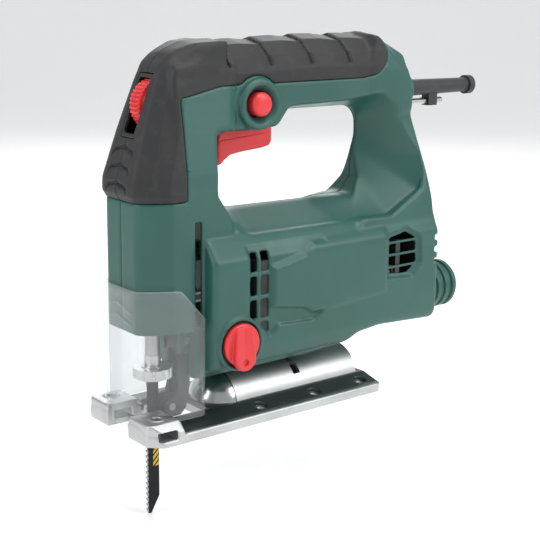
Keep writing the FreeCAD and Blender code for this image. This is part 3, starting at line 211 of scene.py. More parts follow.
@dataclass
class Skin:
    """A surface taken out of a distance field, with the field's slopes as its normals."""

    name: str
    space: Space
    values: np.ndarray

    def mesh(self, side: Side = Side.LEFT, detail: float = 0.0) -> bpy.types.Object:
        """Make the surface where the field is zero.

        Args:
            side: LEFT keeps it where it is, RIGHT mirrors it in the tool's middle plane.
            detail: How far flat stretches may be merged, from 0 to 1.

        Returns:
            A new object in metres, at the origin.
        """
        step, low = self.space.step, np.array(self.space.low)
        full = np.ascontiguousarray(np.broadcast_to(
            self.values, (self.space.x.size, self.space.y.size, self.space.z.size)), dtype=np.float32)
        reach = 3 * step
        grid = openvdb.FloatGrid(reach)
        grid.copyFromArray(np.clip(full, -reach, reach))
        points, triangles, quads = grid.convertToPolygons(isovalue=0.0, adaptivity=detail)
        slopes = np.stack(np.gradient(full, step), axis=-1)
        cell = np.clip(points, 0, np.array(full.shape) - 1.001)
        base = cell.astype(int)
        rest = cell - base
        normals = np.zeros_like(points)
        for corner in np.ndindex(2, 2, 2):
            weight = np.prod(np.where(corner, rest, 1 - rest), axis=1)
            normals += weight[:, None] * slopes[tuple((base + corner).T)]
        normals /= np.linalg.norm(normals, axis=1, keepdims=True) + 1e-9
        places = (low + points * step) * MM
        faces = [face for face in (triangles, quads) if len(face)]
        turned = side is Side.RIGHT
        if turned:
            places[:, 1] *= -1
            normals[:, 1] *= -1
        item = surface_object(self.name, places, faces, turned)
        item.data.normals_split_custom_set_from_vertices(normals)
        return item


def surface_object(name: str, places: np.ndarray, faces: Iterable[np.ndarray],
                   turned: bool) -> bpy.types.Object:
    """Put arrays of points and faces into a new object, whole arrays at a time.

    Args:
        name: The piece's name.
        places: Points in metres.
        faces: Arrays of corner numbers, each with one number of corners per face.
        turned: Whether the faces' corners are taken the other way round.

    Returns:
        The linked object, smooth shaded.
    """
    arrays = [np.asarray(face, dtype=np.int32) for face in faces]
    if turned:
        arrays = [face[:, ::-1] for face in arrays]
    loops = np.concatenate([face.ravel() for face in arrays])
    counts = np.concatenate([np.full(len(face), face.shape[1]) for face in arrays])
    mesh = bpy.data.meshes.new(name)
    mesh.vertices.add(len(places))
    mesh.vertices.foreach_set("co", np.asarray(places, np.float32).ravel())
    mesh.loops.add(len(loops))
    mesh.loops.foreach_set("vertex_index", loops)
    mesh.polygons.add(len(counts))
    mesh.polygons.foreach_set("loop_start", np.concatenate([[0], np.cumsum(counts)[:-1]]).astype(np.int32))
    mesh.polygons.foreach_set("use_smooth", np.ones(len(counts), bool))
    mesh.update(calc_edges=True)
    mesh.validate()
    item = bpy.data.objects.new(name, mesh)
    bpy.context.scene.collection.objects.link(item)
    return item


def extent(node: str) -> tuple[np.ndarray, np.ndarray]:
    """Lowest and highest corner of a frame node, in millimetres."""
    low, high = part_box(node)
    return np.array(low) / MM, np.array(high) / MM


def centre(node: str) -> np.ndarray:
    """Middle of a frame node's box, in millimetres."""
    low, high = extent(node)
    return (low + high) / 2


def both(points: Sequence[Point]) -> list[Point]:
    """An outline across the tool: the given left half and its mirror image."""
    return list(points) + [(-u, v) for u, v in reversed(points) if u]


# ---------------------------------------------------------------- shader maths


class Wire:
    """An output of a material's nodes, with arithmetic that adds the Math nodes it needs."""

    def __init__(self, shader: "Shader", socket: bpy.types.NodeSocket) -> None:
        """Hold the socket and the material it belongs to."""
        self.shader = shader
        self.socket = socket

    def math(self, operation: str, *others: "Wire | float") -> "Wire":
        """Add one Math node on this value and others."""
        return self.shader.node("ShaderNodeMath", {"operation": operation}, (self, *others))

    def __add__(self, other: "Wire | float") -> "Wire":
        """Sum."""
        return self.math("ADD", other)

    __radd__ = __add__

    def __mul__(self, other: "Wire | float") -> "Wire":
        """Product."""
        return self.math("MULTIPLY", other)

    __rmul__ = __mul__

    def __sub__(self, other: "Wire | float") -> "Wire":
        """Difference."""
        return self.math("SUBTRACT", other)

    def __rsub__(self, other: float) -> "Wire":
        """A number less this value."""
        return self.math("MULTIPLY", -1.0) + other

    def __pow__(self, power: float) -> "Wire":
        """Power."""
        return self.math("POWER", power)

    def __abs__(self) -> "Wire":
        """Size without sign."""
        return self.math("ABSOLUTE")

    def above(self, start: float, end: float) -> "Wire":
        """A smooth step.

        Args:
            start: The value at which it is 0.
            end: The value at which it is 1, above or below the start.

        Returns:
            The wire of the step.
        """
        if start > end:
            return 1 - self.above(end, start)
        settings = {"interpolation_type": "SMOOTHSTEP"}
        return self.shader.node("ShaderNodeMapRange", settings, (self, start, end, 0.0, 1.0))


class Shader:
    """A material made of nodes around one Principled shader, read in object coordinates."""

    def __init__(self, name: str) -> None:
        """Start an empty material with its output, shader and coordinates.

        Args:
            name: The material's name.
        """
        self.material = bpy.data.materials.new(name)
        self.material.use_nodes = True
        self.tree = self.material.node_tree
        self.tree.nodes.clear()
        self.output = self.tree.nodes.new("ShaderNodeOutputMaterial")
        self.principled = self.tree.nodes.new("ShaderNodeBsdfPrincipled")
        self.tree.links.new(self.principled.outputs[0], self.output.inputs[0])
        self.place = self.node("ShaderNodeTexCoord", {}, (), "Object")

    def node(self, kind: str, settings: dict[str, object], values: Sequence[object] | dict[str, object],
             output: int | str = 0) -> Wire:
        """Make any node.

        Args:
            kind: The node's type.
            settings: Properties that are set first.
            values: Socket values or wires, in socket order or by name.
            output: Which output is returned.

        Returns:
            The wire from that output.
        """
        node = self.tree.nodes.new(kind)
        for key, value in settings.items():
            setattr(node, key, value)
        pairs = values.items() if isinstance(values, dict) else enumerate(values)
        for key, value in pairs:
            if isinstance(value, Wire):
                self.tree.links.new(value.socket, node.inputs[key])
            elif value is not None:
                node.inputs[key].default_value = value
        return Wire(self, node.outputs[output])

    def axis(self, name: str) -> Wire:
        """One object coordinate, in metres."""
        return self.node("ShaderNodeSeparateXYZ", {}, (self.place,), name)

    def stretched(self, scale: Triple) -> Wire:
        """Object coordinates scaled along each axis."""
        return self.node("ShaderNodeMapping", {}, {"Vector": self.place, "Scale": scale})

    def noise(self, scale: float, detail: float = 2.0, place: Wire | None = None) -> Wire:
        """Soft noise, its scale in cells per metre."""
        return self.node("ShaderNodeTexNoise", {}, {
            "Vector": place or self.place, "Scale": scale, "Detail": detail, "Roughness": 0.55})

    def streaks(self, scale: Triple, detail: float = 3.0) -> Wire:
        """Noise drawn out into lines, its scale along each axis in cells per metre."""
        return self.noise(1.0, detail, self.stretched(scale))

    def cells(self, scale: float) -> Wire:
        """Distance to the nearest of scattered points, its scale in cells per metre."""
        return self.node("ShaderNodeTexVoronoi", {}, {"Vector": self.place, "Scale": scale}, "Distance")

    def blend(self, share: Wire, first: Colour | Wire, second: Colour | Wire) -> Wire:
        """A colour between two, by a share from 0 to 1."""
        full = [(*c, 1.0) if isinstance(c, tuple) else c for c in (first, second)]
        return self.node("ShaderNodeMix", {"data_type": "RGBA"}, {0: share, 6: full[0], 7: full[1]}, 2)

    def bump(self, height: Wire, depth: float, under: Wire | None = None) -> Wire:
        """Bend the normal.

        Args:
            height: A height from 0 to 1.
            depth: What its full range stands for, in metres.
            under: A normal that is bent already.

        Returns:
            The bent normal.
        """
        values = {"Height": height, "Distance": depth, "Strength": 1.0}
        if under is not None:
            values["Normal"] = under
        return self.node("ShaderNodeBump", {}, values)

    def finish(self, **sockets: object) -> bpy.types.Material:
        """Set or link the shader's own sockets.

        Args:
            sockets: Values or wires by socket name, an underscore standing for a space.

        Returns:
            The finished material.
        """
        for key, value in sockets.items():
            socket = self.principled.inputs[key.replace("_", " ")]
            if isinstance(value, Wire):
                self.tree.links.new(value.socket, socket)
            elif isinstance(value, tuple) and len(value) == 3:
                socket.default_value = (*value, 1.0)
            else:
                socket.default_value = value
        return self.material


# ---------------------------------------------------------------- finishes


@dataclass(frozen=True)
class MouldedPlastic:
    """Moulded plastic: spark-eroded grain, faint flow clouds and rubbed, shinier patches."""

    name: str
    colour: Colour
    lighter: Colour
    gloss: float = 0.42
    grain: float = 1800.0
    depth: float = 0.00003

    def material(self) -> bpy.types.Material:
        """Build the finish."""
        s = Shader(self.name)
        clouds = s.noise(22, 3)
        rubbed = s.noise(55, 4).above(0.52, 0.7)
        grain = s.noise(self.grain, 2) + 0.4 * s.cells(self.grain * 0.6)
        speck = s.cells(420).above(0.05, 0.02)
        colour = s.blend(clouds.above(0.3, 0.75), self.colour, self.lighter)
        colour = s.blend(speck * 0.25, colour, tuple(min(1.0, c * 1.8 + 0.03) for c in self.lighter))
        rough = self.gloss + 0.1 * clouds - 0.07 * rubbed + 0.05 * grain
        return s.finish(Base_Color=colour, Roughness=rough, Normal=s.bump(grain, self.depth))


@dataclass(frozen=True)
class SoftRubber:
    """Rubbery overmould: matt, finely pebbled, with faint dust in the grain."""

    name: str
    colour: Colour
    dust: Colour

    def material(self) -> bpy.types.Material:
        """Build the finish."""
        s = Shader(self.name)
        pebble = s.cells(1500)
        fine = s.noise(3000, 2)
        wear = s.noise(40, 4)
        dust = s.noise(160, 5).above(0.5, 0.8) * 0.5
        colour = s.blend(dust, self.colour, self.dust)
        height = (1 - pebble) * 0.7 + fine * 0.3
        return s.finish(Base_Color=colour, Roughness=0.5 + 0.14 * wear + 0.06 * pebble,
                        Normal=s.bump(height, 0.00004), Specular_IOR_Level=0.45, Sheen_Weight=0.05)


@dataclass(frozen=True)
class Metal:
    """Bare metal: brush lines along one axis, a little tarnish and fine scratches."""

    name: str
    colour: Colour
    tarnish: Colour
    rough: float = 0.3
    lines: Triple = (40.0, 2400.0, 2400.0)
    line_depth: float = 0.000004
    cast: float = 0.0

    def material(self) -> bpy.types.Material:
        """Build the finish; cast metal adds a pitted skin to the brush lines."""
        s = Shader(self.name)
        brushed = s.streaks(self.lines)
        patches = s.noise(60, 4)
        pits = s.noise(900, 4)
        scratch = s.streaks((self.lines[1] * 0.4, 60.0, 300.0), 2).above(0.66, 0.7)
        colour = s.blend(patches.above(0.4, 0.72) * 0.6, self.colour, self.tarnish)
        rough = self.rough + 0.12 * patches + 0.1 * brushed + self.cast * 0.12 * pits - 0.08 * scratch
        height = brushed * (1 - self.cast) + pits * (4 * self.cast)
        return s.finish(Base_Color=colour, Roughness=rough, Metallic=1.0,
                        Normal=s.bump(height, self.line_depth + 0.00003 * self.cast))


@dataclass(frozen=True)
class FootplateMetal:
    """Cast footplate: bare satin rim and prongs, and on the sloping top a dark greenish painted reflection of
    the housing.
    """

    name: str
    bare: Colour
    painted_reflection: Colour
    half_width: float
    reflection_front: float

    def material(self) -> bpy.types.Material:
        """Build the finish; the mask of the painted reflection comes from the place on the plate."""
        s = Shader(self.name)
        side, front = self.half_width * MM, self.reflection_front * MM
        across = abs(s.axis("Y"))
        along, up = s.axis("X"), s.axis("Z")
        ragged = (s.noise(500, 3) - 0.5) * 0.0006
        # Painted reflection: on the top, inside the rim and behind the prongs, the plate gets a dark greenish
        # colour, less metallic and less rough, standing in for the dark green housing mirrored in the plate;
        # the worn mask only thins it in random patches.
        painted_reflection = (across + ragged).above(side - 0.0012, side - 0.0022)
        painted_reflection = painted_reflection * (along + ragged).above(front, front - 0.0012)
        painted_reflection = painted_reflection * up.above(0.0042, 0.0049)
        worn = s.noise(90, 5).above(0.62, 0.75) * s.noise(700, 3).above(0.5, 0.6)
        painted_reflection = painted_reflection * (1 - 0.35 * worn)
        brushed = s.streaks((30.0, 1500.0, 1500.0))
        pits = s.noise(1400, 3)
        bare = s.blend(s.noise(45, 4).above(0.35, 0.8), self.bare, tuple(c * 0.8 for c in self.bare))
        colour = s.blend(painted_reflection, bare, self.painted_reflection)
        rough = 0.36 + 0.12 * brushed - 0.1 * painted_reflection + 0.1 * pits
        return s.finish(Base_Color=colour, Roughness=rough, Metallic=1.0 - 0.35 * painted_reflection,
                        Normal=s.bump(brushed * 0.5 + pits * 0.5, 0.00002))


@dataclass(frozen=True)
class SaddleMetal:
    """Pressed saddle: satin sheet with a polished front dome."""

    name: str
    colour: Colour
    dome: float

    def material(self) -> bpy.types.Material:
        """Build the finish; the polish starts at the dome's seam."""
        s = Shader(self.name)
        polish = s.axis("X").above(self.dome * MM - 0.0002, self.dome * MM + 0.0002)
        seam = abs(s.axis("X") - self.dome * MM).above(0.0005, 0.0003)
        brushed = s.streaks((60.0, 1800.0, 1800.0))
        smudge = s.noise(70, 4)
        colour = s.blend(smudge.above(0.4, 0.8), self.colour, tuple(c * 0.85 for c in self.colour))
        colour = s.blend(seam, colour, tuple(c * 0.25 for c in self.colour))
        rough = 0.36 + 0.12 * brushed + 0.06 * smudge - 0.24 * polish
        return s.finish(Base_Color=colour, Roughness=rough, Metallic=1.0, Normal=s.bump(brushed, 0.000004))


@dataclass(frozen=True)
class ClearPlastic:
    """Clear moulded plastic: faint haze, dust and fine scratches."""

    name: str
    tint: Colour

    def material(self) -> bpy.types.Material:
        """Build the finish; haze and dust make it less clear in patches."""
        s = Shader(self.name)
        haze = s.noise(90, 4)
        dust = s.noise(1500, 2).above(0.62, 0.74) * haze.above(0.4, 0.7)
        scratch = s.streaks((900.0, 900.0, 60.0), 2).above(0.7, 0.73)
        clear = s.node("ShaderNodeBsdfTransparent", {}, {"Color": (0.93, 0.94, 0.945, 1.0)})
        facing = s.node("ShaderNodeLayerWeight", {}, {"Blend": 0.35}, "Facing")
        solid = 0.07 + 0.05 * haze + 0.7 * facing ** 2.4 + 0.06 * dust + 0.08 * scratch
        s.finish(Base_Color=self.tint, Roughness=0.07 + 0.12 * haze + 0.3 * dust, Specular_IOR_Level=0.8)
        mix = s.node("ShaderNodeMixShader", {}, (solid, clear, Wire(s, s.principled.outputs[0])))
        s.tree.links.new(mix.socket, s.output.inputs[0])
        return s.material


@dataclass(frozen=True)
class BladeSteel:
    """Saw blade: dark oxide body, bare ground teeth and a worn striped band of paint."""

    name: str
    body: Colour
    bare: Colour
    band: Colour
    teeth: float
    band_span: Point

    def material(self) -> bpy.types.Material:
        """Build the finish; masks come from the place along and across the blade."""
        s = Shader(self.name)
        along, across = s.axis("Z"), s.axis("X")
        ground = across.above(self.teeth * MM - 0.0004, self.teeth * MM)
        low, high = self.band_span
        paint = along.above(low * MM, (low + 0.4) * MM) * along.above(high * MM, (high - 0.4) * MM)
        stripes = s.node("ShaderNodeTexWave", {"bands_direction": "DIAGONAL"},
                         {"Vector": s.place, "Scale": 190.0}, 1)
        paint = paint * (1 - ground) * s.noise(900, 4).above(0.3, 0.45) * stripes.above(0.25, 0.4)
        paint = paint * across.above((self.teeth - 3.2) * MM, (self.teeth - 3.4) * MM)
        grain = s.streaks((2500.0, 200.0, 60.0))
        colour = s.blend(ground, self.body, self.bare)
        colour = s.blend(paint, colour, self.band)
        return s.finish(Base_Color=colour, Roughness=0.3 + 0.2 * grain, Metallic=0.9 - 0.7 * paint,
                        Normal=s.bump(grain, 0.00001))


@dataclass(frozen=True)
class Winding:
    """Enamelled wire: fine turns round the motor's axis with a lacquer shine, and painted shade in the
    grooves between turns.
    """

    name: str
    colour: Colour
    dark: Colour

    def material(self) -> bpy.types.Material:
        """Build the finish; the turns are waves along X."""
        s = Shader(self.name)
        turns = s.node("ShaderNodeTexWave", {"wave_type": "BANDS", "bands_direction": "X"},
                       {"Vector": s.place, "Scale": 300.0, "Distortion": 1.5, "Detail": 2.0}, 1)
        # Painted shade: the wave blends from the dark colour in the grooves between turns to the copper
        # colour on their crests.
        colour = s.blend(turns, self.dark, self.colour)
        return s.finish(Base_Color=colour, Roughness=0.28 + 0.2 * s.noise(80, 3), Metallic=0.8,
                        Normal=s.bump(turns, 0.0001))


# ---------------------------------------------------------------- the housing and its grips


@dataclass
class BodyForm:
    """Outer form of the housing and its soft grip, in millimetres.

    The form is built of a barrel, a nose column, a cap, a handle and a rear post, each an
    outline carried along one axis. They are joined with fillets, and the hand opening,
    whose outline widens from the tool's middle to its sides, is taken out of them.
    """

    step: float
    barrel_half: float = 33
    barrel_rear: float = -120
    barrel_front: float = 40
    barrel_top: float = 111.3
    nose_half: float = 24
    nose_front: float = 74
    nose_bottom: float = 54
    cap_bottom: float = 121
    cap_rear: float = 50
    handle_half: float = 17
    handle_top: float = 200
    bevel_height: float = 5
    saddle_room: float = 17.35
    saddle_dome: float = 14
    wall: float = 2.5
    grip_skin: float = 2.8
    pipe_radius: float = 15.2
    pipe_length: float = 12.2
    port_hole: float = 11.2
    collar_radius: float = 9.2
    cord_hole: float = 5.2
    key_hole: float = 2.2
    boss_radius: float = 13.2
    boss_top: float = 21.3
    button_hole: float = 6.7
    ring_radius: float = 14.4
    ring_room: float = 12.2
    lever_hole: float = 4.4
    screw_hole: float = 3.9
    wheel_half: float = 5.2
    wheel_depth: float = 16
    wheel_span: float = 14.6
    vent_columns: tuple[Point, ...] = ((4.4, 9.4), (12, 16))
    vent_rows: Triple = (57.0, 69.5, 82.0)
    vent_height: float = 10
    window: tuple[Triple, Triple] | None = None

    def __post_init__(self) -> None:
        """Lay the grid over one half of the tool, or a window on it, and read the frame's own axes."""
        low, high = self.window or ((self.barrel_rear - 16, -2, 20), (80, 38, 203))
        self.space = Space(low, high, self.step)
        self.button, self.lever, self.wheel = [
            centre(node)[[0, 2]] for node in ("lock_button", "lever_shaft", "speed_wheel")]
        self.port = centre("dust_port")[1:]
        self.collar = (0, centre("cord_sleeve")[2] + 1.5)
        self.trigger_low, self.trigger_high = extent("trigger")

    def barrel(self) -> np.ndarray:
        """The motor barrel: one outline across the tool cut by one seen from the side."""
        s, half = self.space, self.barrel_half
        across = s.outline(s.y, s.z, both([
            (12, 23), (23, 30.5), (30, 33), (half, 42), (half, 90), (half - 6.5, 98.5),
            (half - 17, 107.5), (half - 26, self.barrel_top), (0, self.barrel_top)]), 1.3)
        beside = s.outline(s.x, s.z, [
            (self.barrel_front, 23), (-38, 23.5), (-47, 27), (-60, 36.5), (-76, 38.5), (self.barrel_rear, 36),
            (self.barrel_rear, 84), (self.barrel_rear + 2, self.barrel_top + 9),
            (self.barrel_front, self.barrel_top + 9)], 1.6)
        span = (self.barrel_rear - self.pipe_length, self.barrel_rear + 60)
        pipe = s.drum(Axis.X, self.port, self.pipe_radius, span, 1.2)
        return joined(shared(across, beside, 3.2), pipe, 9)

    def column(self) -> np.ndarray:
        """The nose column, an outline seen from above."""
        s, half, front = self.space, self.nose_half, self.nose_front
        above = s.outline(s.y, s.x, both([
            (half, 22), (half, front - 16), (half - 8, front - 2), (half - 11, front)]), 0.7)
        return shared(above, between(s.z, self.nose_bottom, self.cap_bottom + 4), 1.0)

    def cap(self) -> np.ndarray:
        """The nose cap: the column's outline, narrower and further back as it rises."""
        s = self.space
        heights = [self.cap_bottom, 124.5, 131, 155, 179, 187, self.handle_top]
        front = np.interp(s.z, heights, [74.4, 77, 76.8, 69, 60, 56, 40])
        narrow = self.nose_half / np.interp(s.z, [133, 180], [self.nose_half, self.handle_half])
        top = s.outline(s.y * narrow, s.x - front + self.nose_front, both([
            (24, 0), (24, 57), (20, 66.5), (14, 73), (11, self.nose_front)]))
        beside = s.outline(s.x, s.z, [
            (30, self.cap_bottom), (74.4, self.cap_bottom), (77, 124.5), (76.8, 131), (69, 155), (60, 179),
            (56, 187), (49, 193), (37, 197), (20, 198.2), (20, 160)], 1.3)
        return shared(top, beside, 3.0)

    def handle(self) -> np.ndarray:
        """The handle: a rounded section whose top follows the handle's line."""
        s, half = self.space, self.handle_half
        drop = np.interp(s.x, [-90, -83, -65, -31, 11, 37, 50, 58], [3, 1, 0, 0, 1.7, 3, 7.5, 14])
        section = s.outline(s.y, s.z + drop, both([
            (half - 3, 149.5), (half, 154), (half, 183), (half - 2, 191), (half - 7, 197.5),
            (0, self.handle_top)]))
        beside = s.outline(s.x, s.z, [
            (56, 149.5), (52, 192), (37, 205), (-78, 205), (-104, 188), (-108, 158), (-30, 158),
            (-22, 149.5)], 2.0)
        return shared(section, beside, 2.2)

    def post(self) -> np.ndarray:
        """The rear post, wider towards its foot, with the collar round the cord's exit."""
        s = self.space
        beside = s.outline(s.x, s.z, [
            (-60, 96), (-78, 120), (-80, 165), (-80, 199), (-85.5, 197.8), (-91, 191), (-97.5, 181.5),
            (-102, 178.2), (-107, 175), (-109.5, 168), (-109.2, 158), (-112.5, 145), (-116, 127),
            (-118.5, 107), (self.barrel_rear, 87), (self.barrel_rear, 76), (-60, 76)], 1.0)
        spread = self.handle_half - 1 + 13 * ramp(s.z, 162, 96)
        collar = s.drum(Axis.X, self.collar, self.collar_radius, (self.barrel_rear + 0.7, -98), 1.4)
        return joined(shared(beside, s.aside - spread, 3.0), collar, 4)

    def opening(self) -> np.ndarray:
        """The hand opening: the inner outline changes into the outer one towards the side."""
        s = self.space
        inner = s.outline(s.x, s.z, [
            (19.6, 150), (19.6, 127), (16, 118), (7, 112), (-44, 111), (-58, 115.5), (-71, 127), (-80, 142),
            (-80, 153), (-74, 160), (-23, 160), (-16, 150)], 2.2)
        outer = s.outline(s.x, s.z, [
            (28.5, 153), (28.5, 123), (20, 109.5), (10, 103), (-50, 102.5), (-84, 106), (-103, 118),
            (-107.5, 131), (-102, 150), (-95.5, 163), (-86, 168.5), (-60, 165), (-20, 164), (-12, 154)], 1.6)
        share = np.clip(s.aside / 18, 0, 1.25)
        return inner + (outer - inner) * share

    def whole(self) -> np.ndarray:
        """The outer form without small details."""
        s = self.space
        front = joined(joined(self.barrel(), self.column(), 1.0), self.cap(), 1.2)
        neck = shared(between(s.x, 17, self.cap_rear + 2), between(s.z, 97, 186), 2)
        neck = shared(neck, s.aside - np.interp(s.z, [133, 180], [22.3, 16.5]), 2.0)
        upper = joined(joined(neck, self.handle(), 3.0), self.post(), 6.0)
        return without(joined(front, upper, 2.5), self.opening(), 2.0)

    def soft_zone(self, side: Side) -> np.ndarray:
        """Where the soft grip lies, seen from the side.

        Args:
            side: On the LEFT, the grip passes round the button's boss.

        Returns:
            Signed distances to the grip's outline.
        """
        s = self.space
        zone = s.outline(s.x, s.z, [
            (self.cap_rear, self.cap_bottom), (110, self.cap_bottom), (110, 225), (-82, 225), (-83.5, 199),
            (-89, 192), (-88, 184), (-82, 178.5), (-72, 176.5), (25, 176), (self.cap_rear, 171)], 1.0)
        if side is Side.LEFT:
            zone = without(zone, disc(s.x, s.z, self.button, self.boss_radius + 1.2), 1.0)
        return zone

    def grip_relief(self) -> np.ndarray:
        """Depth of the grooves in the grip.

        Along the handle, saw-tooth ramps fall away from a slanting edge to a steep step. On the
        nose, three chevrons bend down beside the middle.
        """
        s = self.space
        turn = np.mod((s.x - 0.32 * (s.z - 200) + 3.5) / 27.0, 1.0)
        ramps = (1 - turn / 0.46) * (turn < 0.46) * 1.5 + 0.5 * np.exp(-((turn - 0.98) / 0.03) ** 2)
        along = ramp(s.x, 24, 19) * ramp(s.x, -80, -74) * ramp(s.z, 183.5, 185.5)
        chevrons = 0.0
        for height in (130.0, 138.5, 147.0):
            line = s.z - height + 0.22 * s.aside + 1.8 * ramp(s.aside, 7.2, 9.5)
            chevrons = chevrons + 1.5 * np.clip(1.3 - np.abs(line), 0, 1) * ramp(s.aside, 9.6, 9.0)
        return ramps * along + chevrons * ramp(s.x, 58, 62)

    def wheel_room(self, spread: float) -> np.ndarray:
        """The window round the speed wheel.

        Args:
            spread: How far it is widened.

        Returns:
            Signed distances, negative in the window.
        """
        s = self.space
        reach = self.wheel_span + spread
        behind = (self.wheel[0] - self.wheel_depth - spread) - s.x
        column = shared(s.aside - self.wheel_half - spread, behind, 0.4)
        return shared(column, between(s.z, self.wheel[1] - reach, self.wheel[1] + reach), 0.6)

    def side_relief(self) -> np.ndarray:
        """Raised and lowered fields of the barrel's side, positive outwards."""
        s = self.space

        def within(points: Sequence[Point], slope: float) -> np.ndarray:
            """A share that goes from 1 inside an outline to 0 outside it, over a slope."""
            return np.clip(0.5 - s.outline(s.x, s.z, points, 0.25) / slope, 0, 1)

        plate = within([(3, 83.5), (-19, 87.5), (-25, 93), (-78, 94.5), (-78, 58.5), (-25, 55), (-19, 58.5),
                        (3, 62)], 2.2)
        recess = within([(17.5, 95.5), (17.5, 55), (10, 53.5), (4.5, 46.5), (-2, 52), (-26, 50.5), (-34, 56),
                         (-34, 95.5)], 0.8)
        vent = within(self.rear_vent(0), 1.6)
        return 0.9 * plate - 1.5 * recess * (1 - plate) - 2.2 * vent

    @staticmethod
    def rear_vent(inset: float) -> list[Point]:
        """Outline of the rear side vent, moved in by an inset."""
        return [(-80 - inset, 90 - inset), (-96 + inset / 2, 92.5 - inset), (-104.5 + inset, 86),
                (-105.5 + inset, 72), (-99 + inset, 64.5 + inset), (-80 - inset, 65.5 + inset)]

    def bars(self, heights: Sequence[float], half: float) -> np.ndarray:
        """Level bars at some heights, each twice the given half high."""
        return np.minimum.reduce([between(self.space.z, at - half, at + half) for at in heights])

    def slots(self) -> np.ndarray:
        """Air slots in the barrel's wall.

        They are two columns at the front, a corner one under them, four at the rear side and
        three round the rear corner.

        Returns:
            Signed distances, negative in the slots.
        """
        s = self.space
        outer = self.barrel_half - self.wall - 3 - s.y
        holes = [shared(between(s.x, *column), between(s.z, low, low + self.vent_height), 0.6)
                 for column in self.vent_columns for low in self.vent_rows]
        holes.append(s.outline(s.x, s.z, [(4.4, 54.6), (9.4, 54.6), (9.4, 52.8), (4.4, 48.4)], 0.3))
        rear = s.outline(s.x, s.z, self.rear_vent(2.2), 0.3)
        holes.append(without(rear, self.bars((71.0, 78.0, 85.0), 0.9), 0.5))
        side = shared(np.minimum.reduce(holes), outer, 0.4)
        back = shared(self.bars((70.5, 77.5, 84.5), 1.7), s.x - self.barrel_rear - 3.4, 0.5)
        back = shared(back, 14 - s.y, 1)
        return np.minimum(side, back)

    def housing(self, whole: np.ndarray, side: Side) -> np.ndarray:
        """One moulded half: the whole form with its details, hollow, and cut at the middle.

        Args:
            whole: The outer form.
            side: Which half; the details of the right one are worked out as if on the left.

        Returns:
            Signed distances to the half.
        """
        s = self.space
        relief = self.side_relief() * ramp(s.y, 27, 31)
        form = whole - relief
        track = shared(shared(between(s.x, 41.3, 45.2), 17.5 - s.y, 0.3), between(s.z, 50, 110), 0.4)
        form = without(form, track, 0.5)
        if side is Side.LEFT:
            form = self.left_bosses(form)
        form = without(form, self.slots(), 0.5)
        soft = shared(self.soft_zone(side), -(whole + self.grip_skin + 0.2), 0.5)
        form = without(form, soft, 0.6)
        form = without(form, shared(self.cap_rear - s.x, self.cap_bottom - s.z, 0.5), 0.5)
        inner = whole + self.wall + self.grip_skin * ramp(s.z, 172, 178) - np.minimum(relief, 0)
        form = without(form, inner, 0.5)
        for room in self.rooms(side):
            form = without(form, room, 0.3)
        return shared(form, 0.04 - s.y, 0.55)

    def left_bosses(self, form: np.ndarray) -> np.ndarray:
        """Add the button's dished boss and the lever's ring to the left half.

        Args:
            form: The half without them.

        Returns:
            Signed distances to the half with them.
        """
        s = self.space
        boss = s.drum(Axis.Y, self.button, self.boss_radius, (8, self.boss_top), 2.4)
        cone = disc(s.x, s.z, self.button, self.button_hole + 0.5) - 0.8 * np.clip(s.y - 17.5, 0, 9)
        form = without(joined(form, boss, 2.5), shared(cone, 17 - s.y, 0.4), 0.8)
        lip = s.drum(Axis.Y, self.lever, self.ring_radius, (26, self.barrel_half + 1.3), 0.9)
        room = shared(disc(s.x, s.z, self.lever, self.ring_room), 31.6 - s.y, 0.3)
        return without(joined(form, lip, 0.8), room, 0.5)

    def rooms(self, side: Side) -> list[np.ndarray]:
        """Holes and rooms for what passes through or moves beside the housing.

        Args:
            side: The button passes through the LEFT half, and the screws sit in the RIGHT one.

        Returns:
            Signed distances to each hole or room.
        """
        s = self.space
        from_saddle = np.sqrt(np.clip(s.x - self.saddle_dome, 0, None) ** 2 + s.y ** 2
                              + (s.z - self.bevel_height) ** 2)
        low, high = self.trigger_low, self.trigger_high
        found = [
            from_saddle - self.saddle_room - 0.25,
            shared(shared(between(s.x, low[0] - 0.4, high[0] + 0.4), s.aside - high[1] - 0.4, 0.3),
                   between(s.z, 144, 156), 0.3),
            s.drum(Axis.Z, (56, 0), 9, (50, 60), 0.3),
            shared(shared(between(s.x, 33.7, 42), s.aside - 9.7, 0.3), between(s.z, 20, 54), 0.3),
            s.drum(Axis.X, self.collar, self.cord_hole, (-130, -104), 0.3),
            s.drum(Axis.X, (0, centre("hex_key")[2]), self.key_hole, (-130, -104), 0.2),
            s.drum(Axis.X, self.port, self.port_hole, (self.barrel_rear - 20, self.barrel_rear + 6), 0.3),
            shared(disc(s.x, s.z, self.lever, self.lever_hole), 20 - s.y, 0.2),
        ]
        if side is Side.LEFT:
            found.append(shared(disc(s.x, s.z, self.button, self.button_hole), 9 - s.y, 0.2))
        else:
            for x, z, face in self.screws():
                found.append(shared(disc(s.x, s.z, (x, z), self.screw_hole), face - s.y, 0.3))
        return found

    @staticmethod
    def screws() -> list[Triple]:
        """Find each housing screw in the frame's group of screws.

        Returns:
            X, Z and how far from the middle the screw's head ends, for each.
        """
        mesh = frame["nodes"]["housing_screws"].data
        points = np.zeros(len(mesh.vertices) * 3, np.float32)
        mesh.vertices.foreach_get("co", points)
        points = points.reshape(-1, 3) / MM
        found: list[Triple] = []
        while len(points):
            x, z = points[0, 0], points[0, 2]
            group = np.hypot(points[:, 0] - x, points[:, 2] - z) < 9
            near = points[group]
            middle = (near.min(0) + near.max(0)) / 2
            found.append((float(middle[0]), float(middle[2]), float(-near[:, 1].min()) - 2.4))
            points = points[~group]
        return found

